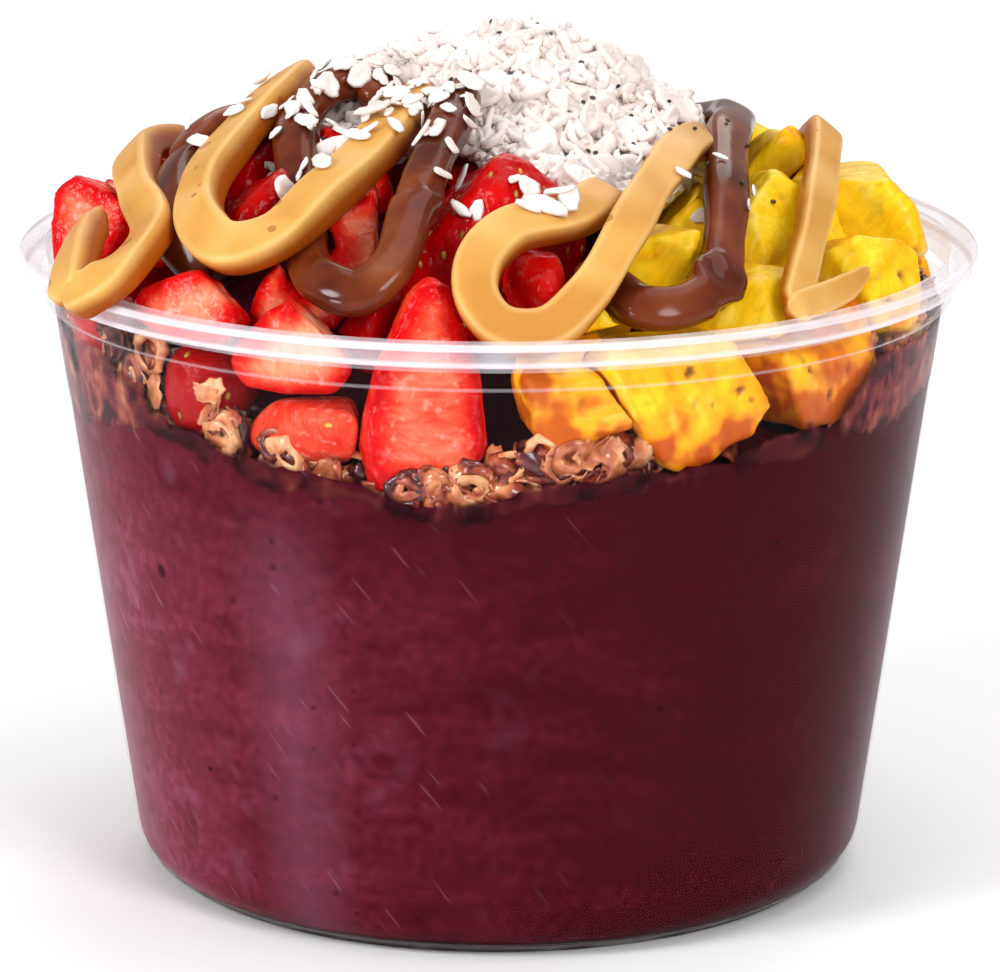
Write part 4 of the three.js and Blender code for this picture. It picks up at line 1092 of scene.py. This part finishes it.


# ---------------------------------------------------------------- fruit

# Each berry: way its tip points, how pale its cut flesh is, how deep and how blushed its skin,
# all 0 to 1, and the spacing of its seeds in millimetres. Paleness 0 is a whole berry, spacing 0
# one whose seeds don't show.
# Blush is the skin's own paler tone, and on the fourth berry, seen through the wall, also a painted
# haze; depth is also painted shade on berries in shade.
BERRIES = [
    ((0.06, 0.24, 1), 0.46, 0.0, 0.2, 0), ((-0.3, -0.2, -1), 0, 0.45, 0.0, 5.5),
    ((-1, 0.3, -0.35), 0.9, 0.0, 0.1, 0), ((-1, 0.44, -0.34), 0, 0.14, 0.34, 9),
    ((-1, 0.4, 0), 0.66, 0.0, 0.1, 0), ((-0.1, 0, -1), 0, 0.25, 0.05, 0),
    ((-0.4, -0.2, -1), 0.62, 0.0, 0.15, 0), ((-0.2, -0.6, -0.8), 0, 0.0, 0.03, 3.3),
    ((0.1, -1, -0.1), 0, 0.0, 0.14, 0), ((-0.3, -0.6, -0.75), 0, 0.3, 0.0, 5.5),
    ((0.25, -0.3, -0.9), 0.6, 0.05, 0.1, 0), ((-0.8, 0, -0.6), 0.8, 0.1, 0.1, 0),
    ((-0.3, -0.5, -0.8), 0.5, 0.1, 0.0, 4.5), ((0.9, -0.2, -0.3), 0.7, 0.0, 0.1, 0),
    ((0.1, -0.7, -0.7), 0, 0.1, 0.0, 4.5), ((0.1, -0.9, -0.5), 0, 0.5, 0.0, 0),
    ((0, -1, -0.25), 0, 0.0, 0.0, 4.5), ((0.9, -0.3, 0), 0.55, 0.0, 0.1, 0),
    ((-0.2, -0.9, -0.3), 0.7, 0.1, 0.1, 0), ((-0.3, -0.9, -0.1), 0, 0.3, 0.0, 4.5),
    ((-0.6, 0.2, -0.7), 0.8, 0.0, 0.1, 0), ((-0.3, 0.5, -0.8), 0.9, 0.1, 0.1, 0),
    ((-0.5, 0.6, -0.5), 0, 0.1, 0.0, 4), ((0.9, 0.1, -0.3), 0.85, 0.0, 0.1, 0),
    ((-0.1, 0.8, -0.6), 0, 0.1, 0.0, 4),
]
# Each chunk: way its rind side looks, and how far juice and puree have stained it, 0 to 1.
CHUNKS = [
    ((0.47, 0.22, -0.85), 0.36), ((-0.95, -0.1, -0.22), 0.52), ((0.16, 0.2, -0.95), 0.68),
    ((0.2, 0.1, 1), 0.3), ((0.42, 0.3, 0.86), 0.0), ((0.74, 0.2, 0.66), 0.0), ((0.55, 0.1, 0.8), 0.0),
    ((-0.1, 0.3, 1), 0.1), ((0, 0.3, 1), 0.1), ((0.42, 0.3, 0.86), 0.1), ((0.1, 0, 1), 0.5),
    ((0.1, 0.2, 1), 0.0), ((0.8, 0.2, 0.3), 0.0), ((-0.4, 0.5, 0.7), 0.05), ((0.7, 0.5, 0.5), 0.1),
    ((0.2, 0.5, 0.85), 0.1), ((-0.3, 0.3, 0.9), 0.2), ((0.4, 0.3, 0.85), 0.2),
]
# Brown pits left by the pineapple's eyes, and patches soaked with juice: place and radius in
# millimetres.
EYES = [
    ((22, -47.4, 72.4), 0.9), ((27.9, -44.6, 69.6), 0.8), ((29.2, -44, 68.4), 0.6),
    ((36.5, -37.8, 70.4), 0.6), ((38.8, -35.3, 66.8), 0.8), ((45.1, -26.3, 72.6), 0.6),
    ((47.7, -21.6, 78.2), 0.9), ((46.3, -24.2, 75.7), 0.5), ((40.9, -33, 69.4), 0.5),
    ((24.6, -46.2, 68), 0.45), ((34, -38.5, 66.6), 0.5),
]
SOAKED = [
    ((42, -31.1, 64.6), 5.5), ((27.4, -44.2, 63.6), 4.5), ((23, -46.3, 60.6), 4.5),
    ((7, -51.4, 65), 4.5), ((3, -50.6, 71.7), 4), ((19, -49, 63), 3), ((33, -40, 62), 4),
]


def cut_faces(bm):
    """Search tree of the faces left by a knife: those that are flat over five corners or more."""
    flat = bm.copy()
    bmesh.ops.dissolve_limit(
        flat, angle_limit=math.radians(0.7), use_dissolve_boundaries=False,
        verts=flat.verts, edges=flat.edges,
    )
    verts, faces = [], []
    for face in flat.faces:
        if len(face.verts) >= 5:
            start = len(verts)
            verts.extend(v.co.copy() for v in face.verts)
            faces.append(list(range(start, len(verts))))
    flat.free()
    return BVHTree.FromPolygons(verts, faces) if faces else None


def spaced_out(verts, spacing, rng):
    """Some of the vertices, no two nearer than the spacing."""
    order = list(verts)
    rng.shuffle(order)
    cells, kept = {}, []
    for vert in order:
        key = tuple(math.floor(c / spacing) for c in vert.co)
        near = [
            p
            for x in (-1, 0, 1) for y in (-1, 0, 1) for z in (-1, 0, 1)
            for p in cells.get((key[0] + x, key[1] + y, key[2] + z), ())
        ]
        if all((p - vert.co).length > spacing for p in near):
            cells.setdefault(key, []).append(vert.co.copy())
            kept.append(vert)
    return kept


class BOWL_OT_strawberries(Operator):
    """Adds the cut and whole strawberries, with seeds in their dimples"""

    bl_idname = "bowl.strawberries"
    bl_label = "Strawberries"

    def execute(self, context):
        look = context.scene.bowl_strawberries
        finish = fruit_skin_and_flesh(look)
        rng = random.Random(11)
        seeds = []
        for i, (tip, paleness, depth, blush_and_painted_haze, spacing) in enumerate(BERRIES):
            node = f"strawberry_{i + 1:02d}"
            solid = copy_of(node)
            tree = BVHTree.FromBMesh(solid)
            knife = cut_faces(solid) if paleness else None
            bm = evened(solid, look.net)
            cut = {v for v in bm.verts if near_some(v, knife, 0.6 * look.net)}
            skin = [v for v in bm.verts if v not in cut]
            relax(bm, skin, 30)
            relax(bm, bm.verts[:], 3)
            bm.normal_update()
            swell_back(skin, tree)
            # Cut flesh is palest 4 mm and more from the skin.
            edge = tree_of_points(skin)
            away = {v: smoothstep(edge.find(v.co)[2] / MM, 0.2, 4) for v in cut}
            flesh = {v: paleness * (0.08 + 0.92 * share) for v, share in away.items()}
            bm.normal_update()
            push(bm.verts, [
                noise.noise(v.co * 170 + Vector((i, 0, 0))) * 0.45
                + noise.noise(v.co * 620) * (0.22 if v in cut else 0.06)
                for v in bm.verts
            ])
            bm.normal_update()
            dimples = spaced_out(skin, spacing * MM, rng) if spacing else []
            dimples = [v for v in dimples if not near_some(v, knife, 1.2 * MM)]
            if dimples:
                pits = tree_of_points(dimples)
                near = [max(0, 1 - (pits.find(v.co)[2] / (1.15 * MM)) ** 2) for v in bm.verts]
                push(bm.verts, [-0.42 * share * share for share in near])
            down = Vector(tip).normalized()
            for vert in dimples:
                at = vert.co + vert.normal * 0.12 * MM
                seeds.append((0, turned(at, vert.normal, down + any_way(rng, 0.3), (1.1, 1, 1))))
            paint(bm, "flesh", [flesh.get(v, blush_and_painted_haze) for v in bm.verts])
            paint(bm, "tone", [depth] * len(bm.verts))
            low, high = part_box(node)
            paint_grain(bm, down.rotation_difference(UP), (low + high) / 2)
            finished(new_object(f"berry_{i + 1:02d}", bm, finish), "strawberry", node)
        seed = grain(1, 0.42, (1.45, 0.85, 0.6))
        finished(scattered("berry_seeds", [seed], seeds, strawberry_seed(look)), "strawberry")
        return {"FINISHED"}


class BOWL_OT_pineapple(Operator):
    """Adds the pineapple chunks"""

    bl_idname = "bowl.pineapple"
    bl_label = "Pineapple"

    def execute(self, context):
        look = context.scene.bowl_pineapple
        finish = pineapple_flesh(look)
        for i, (rind, stain) in enumerate(CHUNKS):
            node = f"pineapple_{i + 1:02d}"
            bm = evened(copy_of(node), look.net)
            relax(bm, bm.verts[:], 5)
            bm.normal_update()
            turn = Vector(rind).normalized().rotation_difference(UP)
            low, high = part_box(node)
            centre = (low + high) / 2
            relief, pits, soak = [], [], []
            for vert in bm.verts:
                own = turn @ (vert.co - centre)
                fibre = noise.noise(Vector((own.x * 600, own.y * 600, own.z * 110))) * 0.2
                wave = noise.noise(vert.co * 150 + Vector((0, i, 0))) * 0.5
                pit = smoothstep(nearness(vert.co, EYES) + 0.4 * noise.noise(vert.co * 900), 0, 0.7)
                relief.append(fibre + wave - 0.35 * pit)
                pits.append(0.9 * pit)
                soaked = smoothstep(vert.co.z / MM, 76, 64) * 0.3 if stain else 0
                soak.append(stain + soaked + 0.5 * smoothstep(nearness(vert.co, SOAKED), 0, 0.8))
            push(bm.verts, relief)
            paint(bm, "stain", soak)
            paint(bm, "eye", pits)
            paint_grain(bm, turn, centre)
            finished(new_object(f"chunk_{i + 1:02d}", bm, finish), "pineapple", node)
        return {"FINISHED"}


# ---------------------------------------------------------------- coconut and granola

# Loose shreds on the fruit and ribbons: (x, y, length) in millimetres.
LOOSE_SHREDS = [
    (-25.9, -24.8, 4), (-25.2, -25.6, 2.6), (-21.6, -3.5, 3), (-19.5, -13.2, 4.6), (-10, -14.6, 2.4),
    (-14.7, -15.6, 4), (-12.2, -19.8, 3), (-6.8, -30.4, 2.4), (-23.6, -7, 3), (5.4, -37.7, 4.6),
    (7.2, -35.6, 3.6), (8.3, -36.1, 3.4), (3.4, -38.2, 2.6), (-8.2, -10.3, 4), (-3.4, -12.5, 4),
    (-8.7, -22.8, 3), (-5.7, -25, 2), (29, -26, 2), (29.8, -21.7, 1.8), (-20.6, -15.4, 3.2),
    (-18, -11.6, 3.4), (-23, -19, 1.8),
]
# More of them, and chia seeds: (middle, spread, count).
LOOSE_AREAS = [
    ((-14, -12), (5, 6), 70), ((-20, -6), (5, 6), 40), ((-8, -17), (4, 5), 30), ((2, -30), (4, 4), 5),
    ((14, -24), (6, 4), 6), ((27, -20), (3, 6), 4), ((0, 30), (12, 8), 26), ((-30, -4), (4, 8), 8),
]
CHIA_AREAS = [
    ((15, -14), (4, 5), 16), ((18, -4), (4, 4), 6), ((-5, -10), (2, 4), 4), ((-22, -12), (3, 4), 3),
    ((29, -17), (1.5, 5), 5), ((4, 14), (8, 8), 14),
]
# Each band of granola: its start and end in steps of 9 degrees, and its height in millimetres.
GRANOLA = {
    "granola_front": (25, 33, 4.4), "granola_left": (19, 25, 9),
    "granola_right": (36, 42, 8), "granola_back": (6, 15, 4.4),
}


def landing(tree, x, y):
    """Where something dropped at x and y, in millimetres, comes to rest, and the way up there."""
    at, normal, _, _ = tree.ray_cast(Vector((x, y, 130)) * MM, -UP)
    if at is None or normal.z < 0.15:
        return None, None
    return at, normal


class BOWL_OT_coconut(Operator):
    """Adds the heap of shredded coconut, with loose shreds and chia seeds"""

    bl_idname = "bowl.coconut"
    bl_label = "Coconut"

    def execute(self, context):
        look = context.scene.bowl_coconut
        finish = coconut_flesh(look)
        rng = random.Random(23)
        shapes = [
            leaf(1.25, width, 0.24, 0.2 + 0.12 * n, (5, 3), n, 0.2, 1)
            for n, width in enumerate((0.36, 0.42, 0.48, 0.62, 0.78, 0.92))
        ]
        core = evened(copy_of("coconut"), 0.8 * MM)
        relax(core, core.verts[:], 4)
        core.normal_update()
        places = []
        tops = [v for v in core.verts if v.normal.z > -0.25]
        for _ in range(look.shreds):
            vert = rng.choice(tops)
            long = look.length * rng.uniform(0.5, 1.4)
            tilt = vert.normal + any_way(rng, 0.7)
            heading = any_way(rng)
            at = vert.co + vert.normal * rng.uniform(-1.4, 0.5) * MM
            wide = long * rng.uniform(0.8, 1.25)
            places.append((rng.randrange(6), turned(at, tilt, heading, (long, wide, long))))
        heap = scattered("coconut_shreds", shapes, [p for p in places if p[0] < 3], finish)
        flakes = scattered("coconut_flakes", shapes, [p for p in places if p[0] > 2], finish)
        push(core.verts, [-0.9 + 0.8 * noise.noise(v.co * 260) for v in core.verts])
        finished(new_object("coconut_heap", core, finish), "coconut", "coconut")
        finished(heap, "coconut")
        finished(flakes, "coconut")
        fruit = objects_named("berry_", "chunk_", "peanut_", "chocolate_", "coconut_")
        under = tree_of(*fruit)
        spots = list(LOOSE_SHREDS)
        for middle, spread, count in LOOSE_AREAS:
            for _ in range(count):
                x, y = rng.gauss(middle[0], spread[0]), rng.gauss(middle[1], spread[1])
                spots.append((x, y, rng.uniform(1.2, 3)))
        loose = []
        for x, y, long in spots:
            at, normal = landing(under, x, y)
            if at is not None:
                up = normal + any_way(rng, 0.25)
                heading = any_way(rng)
                size = (long * MM, long * MM * 1.2, long * MM * 0.6)
                place = turned(at + normal * 0.22 * MM, up, heading, size)
                loose.append((rng.randrange(2, 6), place))
        finished(scattered("loose_coconut", shapes, loose, finish), "coconut")
        seeds, top = [], tree_of(heap, *fruit)
        for middle, spread, count in CHIA_AREAS:
            for _ in range(count):
                x, y = rng.gauss(middle[0], spread[0]), rng.gauss(middle[1], spread[1])
                at, normal = landing(top, x, y)
                if at is not None:
                    seeds.append((0, turned(at + normal * 0.2 * MM, normal, any_way(rng))))
        seed = grain(2, 0.27, (1.4, 1, 0.8))
        finished(scattered("chia_seeds", [seed], seeds, chia_seed()), "coconut")
        return {"FINISHED"}


class BOWL_OT_granola(Operator):
    """Adds the damp granola along the wall"""

    bl_idname = "bowl.granola"
    bl_label = "Granola"

    def execute(self, context):
        look = context.scene.bowl_granola
        finish = damp_granola(look)
        rng = random.Random(31)
        shapes = [leaf(1, 0.6 + 0.1 * n, 0.07, 0.4 + 0.2 * n, (6, 5), 10 + n, 0.24) for n in range(3)]
        shapes += [ring(110 + 25 * n, 0.8 + 0.4 * n, (14, 6), 20 + n) for n in range(4)]
        fruit = tree_of(*objects_named("berry_0", "berry_1", "berry_2", "chunk_"))
        share = look.chips / sum(end - start for start, end, _ in GRANOLA.values())
        for name, (start, end, tall) in GRANOLA.items():
            places, tones = [], []
            for _ in range(round(share * (end - start))):
                azimuth = 9 * rng.uniform(start - 0.6, end + 0.6)
                z = acai_level(azimuth) + tall * rng.uniform(-0.1, 1)
                at = polar(azimuth, inner_radius(z) - rng.uniform(0.6, 3.6), z)
                near, normal, _, _ = fruit.find_nearest(at)
                if near is None or (at - near).dot(normal) < 0.4 * MM:
                    continue
                outward = polar(azimuth, 1, 0).normalized()
                up = outward * rng.choice((-1, 1)) + any_way(rng, 0.6)
                heading = any_way(rng)
                long = look.length * rng.uniform(0.55, 1.15)
                # Leaves are twice as common as rings.
                shape = rng.choice((0, 0, 1, 1, 2, 2, 3, 4, 5, 6))
                places.append((shape, turned(at, up, heading, (long, long, long))))
                tones.append(rng.random() ** 0.7)
            bed = evened(copy_of(name), 0.7 * MM)
            relax(bed, bed.verts[:], 3)
            push(bed.verts, [0.8 * noise.noise(v.co * 300) for v in bed.verts])
            finished(new_object(f"{name}_bed", bed, finish), "granola", name)
            if places:
                chips = scattered(f"{name}_chips", shapes, places, finish, 0.1 * MM, tones)
                finished(chips, "granola")
        return {"FINISHED"}


# ---------------------------------------------------------------- stage

# Lamps: name, place and width in metres, and their share of the main lamp's power.
LAMPS = [
    ("main_lamp", (-0.75, -0.5, 0.6), 0.35, 1),
    ("low_lamp", (-0.8, -0.75, 0.12), 0.3, 0.5),
    ("right_lamp", (0.55, -0.85, 0.6), 0.5, 1.15),
    ("back_lamp", (0.2, 1.1, 0.9), 0.9, 0.7),
    ("top_lamp", (0.25, 0.1, 1.4), 1.4, 1.35),
]
LAMP_AIM = Vector((0, 0, 0.06))
CAMERA_PLACE = (0.00018, -0.72, 0.2301)
CAMERA_PITCH = 14.28  # degrees below level
CAMERA_LENS = 216.6  # in millimetres


class BOWL_OT_stage(Operator):
    """Adds the paper floor, the lamps and the camera"""

    bl_idname = "bowl.stage"
    bl_label = "Stage"

    def execute(self, context):
        look = context.scene.bowl_stage
        scene = context.scene
        floor = bmesh.new()
        bmesh.ops.create_grid(floor, x_segments=1, y_segments=1, size=6)
        new_object("paper_floor", floor, plain_paper(look))
        world = bpy.data.worlds.new("studio")
        scene.world = world
        world.use_nodes = True
        world.node_tree.nodes.clear()
        # The background is pure white, and lights the bowl more softly than it shows.
        node = partial(add, world.node_tree)
        seen = node("LightPath")["Is Camera Ray"]
        strength = node("Math:MULTIPLY_ADD", seen, 1 - look.sky, look.sky)[0]
        node("OutputWorld", node("Background", 1, strength)[0])
        for name, place, size, share in LAMPS:
            lamp = bpy.data.lights.new(name, "AREA")
            lamp.shape = "DISK"
            lamp.size = size
            lamp.energy = look.light * share
            obj = bpy.data.objects.new(name, lamp)
            obj.location = place
            obj.rotation_mode = "QUATERNION"
            obj.rotation_quaternion = (LAMP_AIM - Vector(place)).to_track_quat("-Z", "Y")
            scene.collection.objects.link(obj)
        camera = bpy.data.objects.new("camera", bpy.data.cameras.new("camera"))
        camera.data.lens = CAMERA_LENS
        camera.data.sensor_width = 36
        camera.data.clip_start = 0.01
        camera.location = CAMERA_PLACE
        camera.rotation_euler = (math.radians(90 - CAMERA_PITCH), 0, 0)
        scene.collection.objects.link(camera)
        scene.camera = camera
        scene.view_settings.view_transform = "Standard"
        return {"FINISHED"}


# ---------------------------------------------------------------- panel

OPERATORS = [
    BOWL_OT_cup, BOWL_OT_puree, BOWL_OT_smears, BOWL_OT_ribbons, BOWL_OT_strawberries,
    BOWL_OT_pineapple, BOWL_OT_coconut, BOWL_OT_granola, BOWL_OT_stage,
]


class BOWL_PT_panel(Panel):
    """The bowl's pieces and their settings"""

    bl_idname = "BOWL_PT_panel"
    bl_label = "Acai bowl"
    bl_space_type = "VIEW_3D"
    bl_region_type = "UI"
    bl_category = "Acai bowl"

    def draw(self, context):
        for settings in SETTINGS:
            box = self.layout.box()
            group = getattr(context.scene, settings)
            for key in group.bl_rna.properties.keys():
                if key not in {"rna_type", "name"}:
                    box.prop(group, key)
        for operator in OPERATORS:
            self.layout.operator(operator.bl_idname)


CLASSES = [*SETTINGS.values(), *OPERATORS, BOWL_PT_panel]


def register():
    for each in CLASSES:
        bpy.utils.register_class(each)
    for name, settings in SETTINGS.items():
        setattr(bpy.types.Scene, name, PointerProperty(type=settings))


def unregister():
    for name in SETTINGS:
        delattr(bpy.types.Scene, name)
    for each in reversed(CLASSES):
        bpy.utils.unregister_class(each)


def main():
    register()
    bpy.ops.bowl.cup()
    bpy.ops.bowl.puree()
    bpy.ops.bowl.smears()
    bpy.ops.bowl.ribbons()
    bpy.ops.bowl.strawberries()
    bpy.ops.bowl.pineapple()
    bpy.ops.bowl.coconut()
    bpy.ops.bowl.granola()
    bpy.ops.bowl.stage()


if __name__ == "__main__":
    main()
